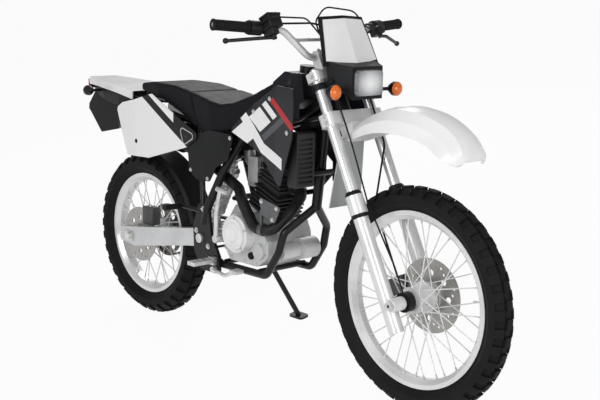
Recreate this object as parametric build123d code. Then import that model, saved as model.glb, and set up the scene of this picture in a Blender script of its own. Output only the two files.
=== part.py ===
from build123d import *
import os
from functools import cache
from math import asin, cos, pi, radians, sin, sqrt

# Light trail motorcycle with wire wheels, parked on its side stand.
# Bike frame, millimetres: x forward from the swingarm pivot, y left, z up from the ground.
# Fork frame: x ahead of the fork tubes, y left, z along the tubes from the axle.

# Stance
REAR_TYRE_RADIUS = 325.0
FRONT_TYRE_RADIUS = 350.0
PIVOT_HEIGHT = 400.0
SWINGARM_LENGTH = 486.0
HEAD_X = 566.0
HEAD_HEIGHT = 931.0
RAKE = 26.5
CLAMP_OFFSET = 30.0
AXLE_LEAD = 32.0
LEAN = 9.0

# Fits
RUNNING_FIT = 0.05
SEAT_GAP = 0.3

# Wheels
FRONT_TYRE_WIDTH = 84.0
FRONT_CROWN = 44.0
FRONT_RIM_RADIUS = 276.0
FRONT_RIM_WIDTH = 50.0
REAR_TYRE_WIDTH = 108.0
REAR_CROWN = 60.0
REAR_RIM_RADIUS = 240.0
REAR_RIM_WIDTH = 62.0
FRONT_LUG_STEPS = 40
REAR_LUG_STEPS = 34
LUG_HEIGHT = 9.0
TREAD_ANGLES = (LEAN, 18.0, 28.0, 54.0)
LUG_SHARE = 0.56
# Rows of slots across the tread: place and span in degrees over the crown, shift in steps
LUG_ROWS = [(0.0, 44.0, 0.5), (46.0, 40.0, 0.0), (-46.0, 40.0, 0.0)]
RIM_LIP = 3.0
RIM_SEAT_DEPTH = 10.0
RIM_DEPTH = 28.0
SPOKES_A_SIDE = 18
SPOKE_RADIUS = 1.9
SPOKE_CROSS = 52.0
AXLE_RADIUS = 8.5
AXLE_BORE = 5.0
HUB_RADIUS = 25.0
FRONT_DISC_RADIUS = 118.0
FRONT_DISC_Y = 58.0
REAR_DISC_RADIUS = 108.0
REAR_DISC_Y = -64.0
DISC_THICKNESS = 4.0
DISC_WINDOWS = 8
# Rings of windows in a brake disc: place and size as shares of its radius, shift in steps
DISC_RINGS = [(0.62, 0.085, 0.0), (0.85, 0.04, 0.5), (0.76, 0.04, 0.75)]

# Fork and steering
FORK_HALF = 97.0
STANCHION_RADIUS = 18.0
SLIDER_RADIUS = 24.0
COLLAR_RADIUS = 28.0
SLIDER_FOOT = -82.0
SLIDER_TOP = 356.0
STANCHION_TOP = 768.0
LOWER_CLAMP = 586.0
UPPER_CLAMP = 735.0
LOWER_CLAMP_HEIGHT = 40.0
UPPER_CLAMP_HEIGHT = 30.0
STEM_RADIUS = 14.0
HEAD_TUBE_RADIUS = 27.0
HEAD_PLAY = 1.0
BAR_RADIUS = 11.0
BAR_HALF = 410.0
BAR_CLAMP_S = 825.0
BAR_CLAMP_AHEAD = -18.0
GRIP_SIDE = 240.0
GRIP_LENGTH = 122.0
GRIP_RADIUS = 16.5
GAUGE_LOW = 804.0
CALIPER_TOP = 92.0
SPEEDO_RADIUS = 31.0

# Number shield, mask and lamps
SHIELD_TOP = 905.0
SHIELD_CORNER = 772.0
SHIELD_LOW = 748.0
SHIELD_TOP_HALF = 84.0
SHIELD_LOW_HALF = 110.0
MASK_BORDER = 12.0
LENS_AHEAD = 109.0
LENS_S = 681.0
LENS_WIDTH = 116.0
LENS_HEIGHT = 84.0
FRONT_INDICATOR_Y = 137.0
REAR_INDICATOR_Y = 130.0
CHEEK_Y = 78.1
INDICATOR_RADIUS = 23.0

# Front mudguard: ahead, s, spine's dip in degrees, half width, skirt depth
SKIN = 4.0
FENDER_ROWS = [(-24.0, 552.0, -6.0, 50.0, 20.0), (110.0, 572.0, -2.0, 84.0, 58.0),
               (236.0, 552.0, 24.0, 92.0, 76.0), (350.0, 478.0, 40.0, 80.0, 74.0),
               (432.0, 374.0, 58.0, 52.0, 56.0), (462.0, 288.0, 72.0, 18.0, 22.0)]

# Chassis
ARM_INNER = 84.0
ARM_WIDTH = 30.0
PLATE_INNER = 115.5
PLATE_WIDTH = 12.0
CRADLE_HALF = 104.0
CRADLE_RADIUS = 13.5
SPAR_RADIUS = 15.0
RAIL_RADIUS = 11.0
CHAIN_Y = 70.0
CHAIN_PITCH = 12.7
REAR_TEETH = 50
FRONT_TEETH = 14
FRONT_SPROCKET_X = 75.0
FRONT_SPROCKET_RISE = 5.0
CHAIN_OUTSIDE = 5.0
CHAIN_INSIDE = 4.4
CHAIN_HALF = 7.5
CHAIN_PLATE = 2.6
ROLLER_RADIUS = 3.2
SPROCKET_GAP = 0.6
CORE_HALF = 55.0
CYLINDER_TILT = 20.0
PANEL_Y = 133.0
PANEL_THICKNESS = 4.0

# Side stand
STAND_PIVOT = (15.0, 152.0, 316.0)
STAND_FOOT_X = 75.0
STAND_FOOT_OUT = 292.0
STAND_FOLDED = (-0.98, 0.17, 0.06)
STAND_TUBE = 10.0
STAND_PIN = 6.0
STAND_FOOT_THICKNESS = 8.0

# Derived stance
AXLE_DROP = PIVOT_HEIGHT - REAR_TYRE_RADIUS
REAR_AXLE = (-sqrt(SWINGARM_LENGTH ** 2 - AXLE_DROP ** 2), 0.0, REAR_TYRE_RADIUS)
UP = Vector(-sin(radians(RAKE)), 0, cos(radians(RAKE)))
AHEAD = Vector(cos(radians(RAKE)), 0, sin(radians(RAKE)))
HEAD_S = (HEAD_HEIGHT + (CLAMP_OFFSET + AXLE_LEAD) * AHEAD.Z - FRONT_TYRE_RADIUS) / UP.Z
FORK_FOOT = Vector(HEAD_X, 0, HEAD_HEIGHT) + AHEAD * CLAMP_OFFSET - UP * HEAD_S
FORK = Plane(origin=FORK_FOOT, x_dir=AHEAD, z_dir=UP)
FRONT_AXLE = tuple(FORK_FOOT + AHEAD * AXLE_LEAD)
LENS_CENTRE = FORK_FOOT + UP * LENS_S + AHEAD * LENS_AHEAD
HEAD_LOW = LOWER_CLAMP + LOWER_CLAMP_HEIGHT + HEAD_PLAY
HEAD_HIGH = UPPER_CLAMP - HEAD_PLAY
LEANED = Location((0, 0, 0), (-LEAN, 0, 0))
FLOOR = -max(FRONT_CROWN, REAR_CROWN) * (1 - cos(radians(LEAN)))

# Frame, shock and radiators
PIVOT_BOLT = 10.0
PILLION_X = -120.0
PILLION_Z = 500.0
SHOCK_TOP = (40.0, 0.0, 686.0)
SHOCK_LOW = (-95.0, 0.0, PIVOT_HEIGHT + 32)
SHOCK_PIN = 6.0
RADIATOR_ROD_X = 508.0
RADIATOR_ROD_Z = 690.0
RADIATOR_INNER = 62.0
RADIATOR_OUTER = 140.0
RADIATOR_BACK = 478.0
RADIATOR_DEPTH = 44.0
RADIATOR_SLOTS = 10
ENGINE_FLOOR = 340.0
# Cross tubes of the frame: x, z, half length, radius
FRAME_CROSS_TUBES = [(80.0, 702.0, 92.0, 13.0), (-560.0, 868.0, 58.0, 9.0),
                     (RADIATOR_ROD_X, RADIATOR_ROD_Z, RADIATOR_INNER - SEAT_GAP, 9.0),
                     (300.0, 330.0, CRADLE_HALF, 9.7), (115.0, 330.0, CRADLE_HALF, 9.7)]
TANK_TUNNEL = 893.0
SEAT_BASE = 838.0
# Rubber-topped posts under the tank and the seat: x, y, foot, top
FRAME_POSTS = [(380.0, 52.3, 856.0, TANK_TUNNEL), (-100.0, 79.0, 808.0, SEAT_BASE),
               (-400.0, 71.0, 847.0, SEAT_BASE + 58.6)]
COVER_Y = 129.0

# Engine and exhaust
# Round covers and drums on the engine: x, z, y range, radius
ENGINE_BOSSES = [(310.0, 402.0, -121.0, -110.0, 27.0), (138.0, 425.0, -134.0, -110.0, 17.0),
                 (368.0, 405.0, -72.0, 14.0, 25.0), (368.0, 405.0, 12.0, 84.0, 37.0),
                 (262.0, 432.0, 98.0, 116.0, 58.0), (172.0, 385.0, 98.0, 108.0, 14.0)]
CYLINDER_FOOT = Vector(255.0, 0, 515.0)
CYLINDER_UP = Vector(sin(radians(CYLINDER_TILT)), 0, cos(radians(CYLINDER_TILT)))
CYLINDER = Plane(origin=CYLINDER_FOOT, x_dir=(cos(radians(CYLINDER_TILT)), 0, -sin(radians(CYLINDER_TILT))),
                 z_dir=CYLINDER_UP)
CYLINDER_HEIGHT = 106.0
HEAD_TOP = 196.0
PORT_REACH = 70.0
PORT_HEIGHT = 134.0
INLET_REACH = 74.0
AIRBOX_MOUTH_X = 121.0
AIRBOX_FLOOR = 725.0
HEADER_RADIUS = 19.0
# Header pipe after the port: x, y, z and bend radius
HEADER_BENDS = [(408.0, -62.0, 548.0, 60.0), (385.0, -126.0, 488.0, 34.0), (310.0, -136.0, 488.0, 50.0),
                (240.0, -128.0, 560.0, 60.0), (150.0, -74.0, 596.0, 60.0), (40.0, -62.0, 634.0, 60.0),
                (-80.0, -66.0, 690.0, 60.0)]

# Number plate
PLATE_CENTRE = Vector(-846.5, 0, 832.25)
PLATE_NORMAL = Vector(-69, 0, 62).normalized()
PLATE_HOLE_HALF = 32.0
PLATE_HOLE_RADIUS = 3.0

# Handlebar
# Left half of the handlebar, from the clamp out: ahead, y, s
BAR_BENDS = [(BAR_CLAMP_AHEAD, 85.0, BAR_CLAMP_S), (-7.0, BAR_HALF - GRIP_SIDE, BAR_CLAMP_S + 90),
             (-42.0, BAR_HALF, BAR_CLAMP_S + 126)]
BAR_RUN = (Vector(*BAR_BENDS[1]) - Vector(*BAR_BENDS[2])).normalized()
# Middle of the left lever perch
PERCH = Vector(*BAR_BENDS[2]) + BAR_RUN * (GRIP_LENGTH + 57)

# Control cables and the brake hose on the fork: radius, bend radii, points of ahead, y and s
CABLE_RUNS = [
    (3.2, (40.0, 40.0, 60.0, 60.0),
     [(PERCH.X + 36, 27 + SEAT_GAP - PERCH.Y, PERCH.Z), (22, -70, 925), (34, 72, 890), (34, 72, 500),
      (-78, 60, 330), (-78, 60, CALIPER_TOP + SEAT_GAP)]),
    (2.6, (20.0, 30.0, 60.0, 80.0, 50.0),
     [(50, -20, GAUGE_LOW - SEAT_GAP), (50, -20, 785), (34, -72, 745), (34, -72, 500), (8, -56, 330),
      (32, -53, 110), (32, -53, SPEEDO_RADIUS + SEAT_GAP)]),
    (2.6, (30.0, 40.0, 14.0),
     [(PERCH.X + 20.5, -PERCH.Y - 34, PERCH.Z + 5), (58, -PERCH.Y - 34, PERCH.Z + 5), (58, -120, 925),
      (44, -62, 862), (80, -62, 850)]),
    (2.6, (80.0, 80.0, 50.0, 30.0, 10.0),
     [(PERCH.X + 36, PERCH.Y - 14, PERCH.Z - 25), (40, 150, 903), (72, 84, 944), (72, -40, 958),
      (58, -86, 915), (58, -86, 872), (77, -86, 866)]),
]
# Coolant hoses on the frame: radius, bend radii, points of x, y and z
HOSE_RUNS = [
    (9.0, (30.0, 40.0, 24.0),
     [(RADIATOR_BACK - SEAT_GAP, 100, 672), (436, 100, 672), (372, 88, 600), (262, 84, 572), (254, 84, 519)]),
    (9.0, (40.0, 24.0),
     [(RADIATOR_BACK - SEAT_GAP, -100, 700), (432, -100, 700), (338, -96, 672), (338, -52 - SEAT_GAP, 672)]),
]

# Stand
STAND_FOOT = LEANED.inverse() * Location((STAND_FOOT_X, STAND_FOOT_OUT, FLOOR))
STAND_LEG = STAND_FOOT.position - Vector(*STAND_PIVOT)
STAND_AXIS = STAND_LEG.cross(Vector(*STAND_FOLDED)).normalized()


def fork_point(s, ahead=0.0, y=0.0):
    """A point of the fork frame in the bike frame."""
    return FORK_FOOT + UP * s + AHEAD * ahead + Vector(0, y, 0)


def in_fork(shape):
    """Place a shape made in the fork frame."""
    return FORK.location * shape


def both(shape):
    """The shape and its twin on the other side of the bike."""
    return Part() + [shape, mirror(shape, about=Plane.XZ)]


def rod(start, end, radius):
    """Round bar between two points."""
    axis = Vector(*end) - Vector(*start)
    return extrude(Plane(origin=start, z_dir=axis) * Circle(radius), amount=axis.length)


def cross_rod(x, z, low, high, radius):
    """Round bar across the bike."""
    return rod((x, low, z), (x, high, z), radius)


def bent_tube(points, radius, bend):
    """Round bar along straight runs and tangent arcs."""
    path = FilletPolyline(*points, radius=bend)
    return sweep(Plane(origin=path @ 0, z_dir=path % 0) * Circle(radius), path=path)


def outline(points, bend):
    """Closed face from points, its corners rounded."""
    if bend:
        return make_face(FilletPolyline(*points, radius=bend, close=True))
    return make_face(Polyline(*points, close=True))


def side_prism(points, low, high, bend=0.0):
    """Prism across the bike from an outline in x and z."""
    face = outline([(x, low, z) for x, z in points], bend)
    return extrude(face, amount=high - low, dir=(0, 1, 0))


def plan_prism(points, low, high, bend=0.0):
    """Upright prism from an outline in x and y."""
    face = outline([(x, y, low) for x, y in points], bend)
    return extrude(face, amount=high - low, dir=(0, 0, 1))


def front_prism(points, low, high, bend=0.0):
    """Prism along the bike from an outline in y and z."""
    face = outline([(low, y, z) for y, z in points], bend)
    return extrude(face, amount=high - low, dir=(1, 0, 0))


def block(x, y, z):
    """Box from its three ranges."""
    low = (x[0], y[0], z[0])
    size = (x[1] - x[0], y[1] - y[0], z[1] - z[0])
    return Pos(*low) * Box(*size, align=(Align.MIN, Align.MIN, Align.MIN))


def symmetric(points):
    """Outline in x and y from its left half, front to rear, mirrored."""
    return points + [(x, -y) for x, y in reversed(points)]


def turned(profile):
    """Solid turned about the wheel's own axle from (radius, y) points."""
    return revolve(make_face(Polyline(*profile, close=True)), axis=Axis.Y)


def lug_slots(radius, crown, steps):
    """Cutters between the lugs: two rings and three rows of cross slots."""
    base = radius - crown
    low = crown - LUG_HEIGHT
    high = crown + LUG_HEIGHT
    near, far = TREAD_ANGLES[1:3]
    tools = []
    for side in (-1, 1):
        corners = []
        for reach, angle in ((low, near + 1), (high, near - 1), (high, far + 1), (low, far - 1)):
            corners.append((base + reach * cos(radians(angle)), side * reach * sin(radians(angle))))
        tools.append(turned(corners))
    slot = (1 - LUG_SHARE) * 2 * pi * radius / steps
    for index in range(steps):
        turn = 360 / steps * index
        for angle, span, shift in LUG_ROWS:
            normal = (cos(radians(angle)), sin(radians(angle)), 0)
            spot = Plane(origin=(base + normal[0] * low, normal[1] * low, 0), x_dir=(0, 0, 1), z_dir=normal)
            half = crown * radians(span) / 2
            tool = spot.location * block((-slot / 2, slot / 2), (-half, half), (0, 2 * LUG_HEIGHT))
            tools.append(Rot(0, turn + 360 / steps * shift, 0) * tool)
    return tools


@cache
def tyre(radius, width, crown, rim_radius, rim_width, steps):
    """Knobbly tyre ring of straight-sided bands, seated on its rim."""
    seat = rim_radius - RIM_SEAT_DEPTH + SEAT_GAP
    bead = rim_width / 2 - RIM_LIP - SEAT_GAP
    over_lip = rim_radius + 2.0
    half = []
    for angle in TREAD_ANGLES:
        half.append((radius - crown * (1 - cos(radians(angle))), crown * sin(radians(angle))))
    half.append((0.62 * radius + 0.38 * over_lip, width / 2))
    half.append((0.3 * radius + 0.7 * over_lip, 0.47 * width))
    half += [(over_lip, bead), (seat, bead)]
    ring = turned(half + [(r, -y) for r, y in reversed(half)])
    return ring - lug_slots(radius, crown, steps)


def rim(radius, width):
    """Drop-centre rim."""
    half = width / 2
    seat = radius - RIM_SEAT_DEPTH
    floor = radius - RIM_DEPTH
    well = floor + 6.0
    right = [(radius, half), (radius, half - RIM_LIP), (seat, half - RIM_LIP), (seat, half - 12),
             (well, half - 19)]
    left = [(r, -y) for r, y in reversed(right)]
    inside = [(radius - 14, -half), (floor, 14 - half), (floor, half - 14), (radius - 14, half)]
    return turned(right + left + inside)


def spokes(flanges, rim_radius):
    """Crossed wire spokes of both sides, from the hub flanges to the rim."""
    wires = []
    reach = rim_radius - RIM_DEPTH - 0.6
    step = 360 / SPOKES_A_SIDE
    for side, (flange_y, flange_radius) in enumerate(flanges):
        for index in range(SPOKES_A_SIDE):
            lead = 1 if index % 2 else -1
            at_rim = radians(step * (index + side / 2))
            at_hub = at_rim + lead * radians(SPOKE_CROSS)
            root = flange_radius - 7.0
            rim_y = 5.0 if flange_y > 0 else -5.0
            start = (root * cos(at_hub), flange_y + 3.2 * lead, root * sin(at_hub))
            end = (reach * cos(at_rim), rim_y, reach * sin(at_rim))
            wires.append(rod(start, end, SPOKE_RADIUS))
    return wires


def hub(low, high, flanges, carriers, rim_radius):
    """Hub with spoke flanges, disc or sprocket carriers and its spokes."""
    body = cross_rod(0, 0, low, high, HUB_RADIUS)
    for y, radius in flanges:
        body += cross_rod(0, 0, y - 5.0, y + 5.0, radius)
    for start, end, radius in carriers:
        body += cross_rod(0, 0, start, end, radius)
    body = body + spokes(flanges, rim_radius)
    return body - cross_rod(0, 0, low - 50, high + 50, AXLE_RADIUS + RUNNING_FIT)


def disc(radius, y, bore):
    """Brake disc with rings of round windows."""
    through = (y - 1, y + DISC_THICKNESS + 1)
    plate = cross_rod(0, 0, y, y + DISC_THICKNESS, radius)
    plate -= cross_rod(0, 0, *through, bore)
    windows = []
    for index in range(DISC_WINDOWS):
        for share, size, shift in DISC_RINGS:
            turn = Rot(0, 360 / DISC_WINDOWS * (index + shift), 0)
            windows.append(turn * cross_rod(share * radius, 0, *through, size * radius))
    return plate - windows


def front_tyre():
    ring = tyre(FRONT_TYRE_RADIUS, FRONT_TYRE_WIDTH, FRONT_CROWN, FRONT_RIM_RADIUS, FRONT_RIM_WIDTH,
                FRONT_LUG_STEPS)
    return Pos(*FRONT_AXLE) * Rot(0, 90, 0) * ring


def front_rim():
    return Pos(*FRONT_AXLE) * rim(FRONT_RIM_RADIUS, FRONT_RIM_WIDTH)


def front_hub():
    shape = hub(-36.0, 50.0, [(-28.0, 42.0), (32.0, 50.0)], [(45.0, FRONT_DISC_Y, 46.0)],
                FRONT_RIM_RADIUS)
    return Pos(*FRONT_AXLE) * shape


def front_disc():
    return Pos(*FRONT_AXLE) * disc(FRONT_DISC_RADIUS, FRONT_DISC_Y, 32.0)


def rear_tyre():
    ring = tyre(REAR_TYRE_RADIUS, REAR_TYRE_WIDTH, REAR_CROWN, REAR_RIM_RADIUS, REAR_RIM_WIDTH,
                REAR_LUG_STEPS)
    return Pos(*REAR_AXLE) * Rot(0, 90, 0) * ring


def rear_rim():
    return Pos(*REAR_AXLE) * rim(REAR_RIM_RADIUS, REAR_RIM_WIDTH)


def sprocket_radius(teeth):
    """Pitch radius of a chain wheel."""
    return CHAIN_PITCH / (2 * sin(pi / teeth))


def rear_hub():
    disc_side = REAR_DISC_Y + DISC_THICKNESS
    sprocket_side = CHAIN_Y - 3.0
    shape = hub(-48.0, 52.0, [(-36.0, 52.0), (36.0, 52.0)],
                [(disc_side, -45.0, 44.0), (45.0, sprocket_side, 46.0)], REAR_RIM_RADIUS)
    return Pos(*REAR_AXLE) * shape


def rear_disc():
    return Pos(*REAR_AXLE) * disc(REAR_DISC_RADIUS, REAR_DISC_Y, 30.0)


def rear_sprocket():
    reach = sprocket_radius(REAR_TEETH) - CHAIN_INSIDE - SPROCKET_GAP
    low, high = CHAIN_Y - 3.0, CHAIN_Y + 3.0
    plate = cross_rod(0, 0, low, high, reach) - cross_rod(0, 0, low - 1, high + 1, 30.0)
    holes = [Rot(0, 60 * index, 0) * cross_rod(70.0, 0, low - 1, high + 1, 16.0) for index in range(6)]
    return Pos(*REAR_AXLE) * (plate - holes)


def front_axle():
    """Hollow spindle with its collars, head and nut."""
    bars = [cross_rod(0, 0, -122.0, 124.0, AXLE_RADIUS), cross_rod(0, 0, -132.0, -122.0, 15.0),
            cross_rod(0, 0, 122.0, 131.0, 14.0), cross_rod(0, 0, -72.0, -66.0, 13.0),
            cross_rod(0, 0, 67.0, 72.0, 13.0)]
    return Pos(*FRONT_AXLE) * (bars[0] + bars[1:] - cross_rod(0, 0, -140, 140, AXLE_BORE))


def speedo_drive():
    body = cross_rod(0, 0, -65.7, -41.0, SPEEDO_RADIUS) - cross_rod(0, 0, -80, 0, AXLE_RADIUS + RUNNING_FIT)
    return Pos(*FRONT_AXLE) * body


def fork_sliders():
    """Lower fork legs with their leading axle lugs."""
    y = FORK_HALF
    leg = rod((0, y, SLIDER_FOOT), (0, y, SLIDER_TOP - 30), SLIDER_RADIUS)
    leg += rod((0, y, SLIDER_TOP - 60), (0, y, SLIDER_TOP), COLLAR_RADIUS)
    leg += cross_rod(AXLE_LEAD, 0, y - 24.7, y + 24.7, 21.0)
    leg += block((0, AXLE_LEAD), (y - 20, y + 20), (-20, 20))
    leg -= rod((0, y, SLIDER_TOP - 40), (0, y, SLIDER_TOP + 1), STANCHION_RADIUS + RUNNING_FIT)
    leg -= cross_rod(AXLE_LEAD, 0, y - 40, y + 40, AXLE_RADIUS + RUNNING_FIT)
    return in_fork(both(leg))


def fork_stanchions():
    tube = rod((0, FORK_HALF, SLIDER_TOP - 39), (0, FORK_HALF, STANCHION_TOP), STANCHION_RADIUS)
    return in_fork(both(tube))


def clamp_plate(low, height, reach):
    """Fork bridge with bores for both tubes."""
    half = FORK_HALF + STANCHION_RADIUS + 10
    points = symmetric([(28, half - 4), (-26, half - 4), (-30 - reach, 32)])
    plate = plan_prism(points, low, low + height, 16.0)
    for side in (-1, 1):
        bore = STANCHION_RADIUS + RUNNING_FIT
        plate -= rod((0, side * FORK_HALF, low - 1), (0, side * FORK_HALF, low + height + 1), bore)
    return plate


def lower_clamp():
    """Lower bridge with the steering stem."""
    bridge = clamp_plate(LOWER_CLAMP, LOWER_CLAMP_HEIGHT, 28.0)
    stem = rod((-CLAMP_OFFSET, 0, LOWER_CLAMP), (-CLAMP_OFFSET, 0, STANCHION_TOP), STEM_RADIUS)
    return in_fork(bridge + stem)


def upper_clamp():
    """Upper bridge with the handlebar risers."""
    bridge = clamp_plate(UPPER_CLAMP, UPPER_CLAMP_HEIGHT, 24.0)
    stem = rod((-CLAMP_OFFSET, 0, UPPER_CLAMP - 1), (-CLAMP_OFFSET, 0, STANCHION_TOP + 9),
               STEM_RADIUS + RUNNING_FIT)
    for side in (-45, 45):
        bridge += block((BAR_CLAMP_AHEAD - 17, BAR_CLAMP_AHEAD + 17), (side - 12, side + 12),
                        (UPPER_CLAMP + 10, BAR_CLAMP_S + 18))
    bar = cross_rod(BAR_CLAMP_AHEAD, BAR_CLAMP_S, -70, 70, BAR_RADIUS + RUNNING_FIT)
    return in_fork(bridge - stem - bar)


def bar_rod(start, end, radius):
    """Round bar along the left grip run, by distance from the bar's end."""
    tip = Vector(*BAR_BENDS[2])
    return rod(tip + BAR_RUN * start, tip + BAR_RUN * end, radius)


def handlebar():
    points = [(a, -y, s) for a, y, s in reversed(BAR_BENDS)] + BAR_BENDS
    tube = bent_tube(points, BAR_RADIUS, 45.0)
    inner, outer = BAR_BENDS[0][1], BAR_BENDS[1][1]
    brace = inner + 0.64 * (outer - inner)
    tube += cross_rod(-11.0, BAR_CLAMP_S + 58, -brace, brace, 6.0)
    bores = both(bar_rod(-1.0, 60.0, 7.0))
    return in_fork(tube - bores)


def grips():
    grip = bar_rod(0, GRIP_LENGTH, GRIP_RADIUS)
    grip += bar_rod(GRIP_LENGTH - 6, GRIP_LENGTH, GRIP_RADIUS + 4.5)
    grip += bar_rod(0, 5, GRIP_RADIUS + 2.0)
    grip -= bar_rod(-5, GRIP_LENGTH + 5, BAR_RADIUS + RUNNING_FIT)
    return in_fork(both(grip))


def controls():
    """Throttle and switch housings, lever perches and the brake reservoir."""
    bore = bar_rod(GRIP_LENGTH, 230.0, BAR_RADIUS + RUNNING_FIT)
    housing = bar_rod(GRIP_LENGTH + 2, GRIP_LENGTH + 42, 23.0)
    perch = bar_rod(GRIP_LENGTH + 40, GRIP_LENGTH + 74, 17.0)
    arm = Pos(*PERCH) * block((2, 48), (-13, 13), (-37, -13))
    box = Pos(*PERCH) * (block((16, 58), (-27, 23), (-17, 25)) + block((14, 60), (-29, 25), (21, 28)))
    left = housing + perch + arm - bore
    right = mirror(housing + perch + arm + box - bore, about=Plane.XZ)
    return in_fork(Part() + [left, right])


def levers():
    """Hand levers with ball ends, the clutch lever set lower than the brake lever."""
    shape = Part()
    for side, reach, drop in ((1, -34.0, -44.0), (-1, -22.0, -29.0)):
        bends = [(32.0, 0.0), (24.0, 37.0), (reach, 147.0)]
        falls = [-44.0, -42.0, drop]
        path = [PERCH + Vector(ahead, out, fall) for (ahead, out), fall in zip(bends, falls)]
        lever = bent_tube(path, 5.6, 25.0) + Pos(*path[2]) * Sphere(9.0)
        lever += rod(path[0] - Vector(0, 0, 5), path[0] + Vector(0, 0, 6.7), 8.0)
        shape += lever if side > 0 else mirror(lever, about=Plane.XZ)
    return in_fork(shape)


def fender_section(ahead, s, tilt, half, drop):
    """Arched face across the front mudguard, square to its spine."""
    outer = [(half, -drop), (0.93 * half, -0.5 * drop), (0.62 * half, -0.1 * drop), (0.26 * half, 0)]
    inner = [(0.26 * half, -SKIN), (0.6 * half, -0.1 * drop - SKIN), (0.93 * half - SKIN, -0.5 * drop),
             (half - SKIN, -drop)]
    ring = outer + [(-y, z) for y, z in reversed(outer)]
    ring += [(-y, z) for y, z in reversed(inner)] + inner
    face = Plane(origin=(ahead, 0, s), x_dir=(0, 1, 0), z_dir=(cos(radians(tilt)), 0, -sin(radians(tilt))))
    return make_face(Polyline(*[face.from_local_coords((y, z, 0)) for y, z in ring], close=True))


def front_fender():
    """High front mudguard with the flap behind the fork."""
    skin = loft([fender_section(*row) for row in FENDER_ROWS])
    flap = side_prism([(-22, 556), (-18, 550), (-148, 360), (-152, 362)], -75, 75)
    flap = flap & front_prism([(48, 562), (70, 356), (-70, 356), (-48, 562)], -200, 0)
    seat = block((-26, 30), (-40, 40), (546, LOWER_CLAMP - SEAT_GAP))
    return in_fork(skin + flap + seat)


def folded_sheet(rows, depth):
    """Sheet with a fold down its middle, between rows of (s, half width, mid ahead, side ahead)."""
    faces = []
    for s, half, mid, side in rows:
        front = [(side, half, s), (mid, 0, s), (side, -half, s)]
        back = [(ahead - depth, y, s) for ahead, y, s in reversed(front)]
        faces.append(make_face(Polyline(*(front + back), close=True)))
    return loft(faces, ruled=True)


def shield_outline(border):
    """Prism along the fork's fore and aft line with the number shield's outline, grown by a border."""
    top, corner, low = SHIELD_TOP + border, SHIELD_CORNER - border, SHIELD_LOW - border
    wide, narrow = SHIELD_LOW_HALF + border, SHIELD_TOP_HALF + border
    return front_prism([(-narrow, top), (narrow, top), (wide, corner), (0, low), (-wide, corner)], 0, 200)


def shield_rows(back):
    """Rows of the folded shield sheet, moved back."""
    return [(SHIELD_TOP + 30, 150.0, 101 - back, 85 - back), (SHIELD_LOW - 30, 150.0, 94 - back, 66 - back)]


def number_shield():
    return in_fork(folded_sheet(shield_rows(0), SKIN) & shield_outline(0))


def headlight_mask():
    """Mask behind the number shield, lamp bucket and the straps to the fork tubes."""
    sheet = folded_sheet(shield_rows(SKIN + SEAT_GAP), SKIN) & shield_outline(MASK_BORDER)
    straps = Part()
    for side in (-1, 1):
        ring = rod((0, side * FORK_HALF, 704), (0, side * FORK_HALF, 724), STANCHION_RADIUS + 7)
        ring += block((0, 62), (side * 88 - 8, side * 88 + 8), (706, 722))
        straps += ring - rod((0, side * FORK_HALF, 600), (0, side * FORK_HALF, 733),
                             STANCHION_RADIUS + RUNNING_FIT)
    front = Plane(origin=LENS_CENTRE, x_dir=(0, 1, 0), z_dir=(1, 0, 0))
    back = Plane(origin=LENS_CENTRE - Vector(78, 0, 0), x_dir=(0, 1, 0), z_dir=(1, 0, 0))
    trapezoid = make_face(Polyline((-108, 66), (108, 66), (97, 4), (-97, 4), close=True))
    bucket = loft([front * Rectangle(LENS_WIDTH + 18, LENS_HEIGHT + 18), back * trapezoid])
    return in_fork(sheet + straps) + bucket - number_shield()


def headlight():
    face = Plane(origin=LENS_CENTRE + Vector(SEAT_GAP, 0, 0), x_dir=(0, 1, 0), z_dir=(1, 0, 0))
    return extrude(face * RectangleRounded(LENS_WIDTH, LENS_HEIGHT, 16), amount=14, taper=14)


def instrument():
    """Speedometer on its post over the upper bridge."""
    gauge = rod((36, 0, GAUGE_LOW), (36, 0, GAUGE_LOW + 34), 34.0)
    post = rod((16, 0, UPPER_CLAMP + UPPER_CLAMP_HEIGHT + SEAT_GAP), (16, 0, GAUGE_LOW + 2), 9.0)
    return in_fork(gauge + post)


def indicator(radius):
    """Turned lamp with a domed lens, facing +X."""
    edge, tip = 14.0, 28.0
    middle = (tip ** 2 - edge ** 2 - radius ** 2) / (2 * (tip - edge))
    bulge = tip - middle
    half = asin(radius / bulge) / 2
    crest = (middle + bulge * cos(half), 0, bulge * sin(half))
    dome = ThreePointArc((edge, 0, radius), crest, (tip, 0, 0))
    shell = Polyline((tip, 0, 0), (-20, 0, 0), (-16, 0, 0.6 * radius), (0, 0, radius), (edge, 0, radius))
    return revolve(make_face([dome, shell]), axis=Axis.X)


def front_indicators():
    """Round turn signals on short stalks from the lamp bucket."""
    spot = LENS_CENTRE + Vector(-14, FRONT_INDICATOR_Y, -24)
    stalk = rod(spot - Vector(8, 90, 0), spot - Vector(8, 0, 0), 6.0)
    return both(Pos(*spot) * indicator(INDICATOR_RADIUS) + stalk) - headlight_mask()


def front_caliper():
    """Brake caliper behind the left fork leg."""
    body = block((-112, -46), (43, 80), (10, CALIPER_TOP))
    body += block((-60, 0), (67, 80), (22, 66))
    body -= cross_rod(AXLE_LEAD, 0, FRONT_DISC_Y - 2.5, FRONT_DISC_Y + DISC_THICKNESS + 2.5,
                      FRONT_DISC_RADIUS + 5)
    body -= rod((0, FORK_HALF, SLIDER_FOOT), (0, FORK_HALF, SLIDER_TOP), SLIDER_RADIUS + SEAT_GAP)
    return in_fork(body)


def cables():
    """Brake hose, speedometer cable and the throttle and clutch cables."""
    return in_fork(Part() + [bent_tube(points, radius, list(bends)) for radius, bends, points in CABLE_RUNS])


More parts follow.
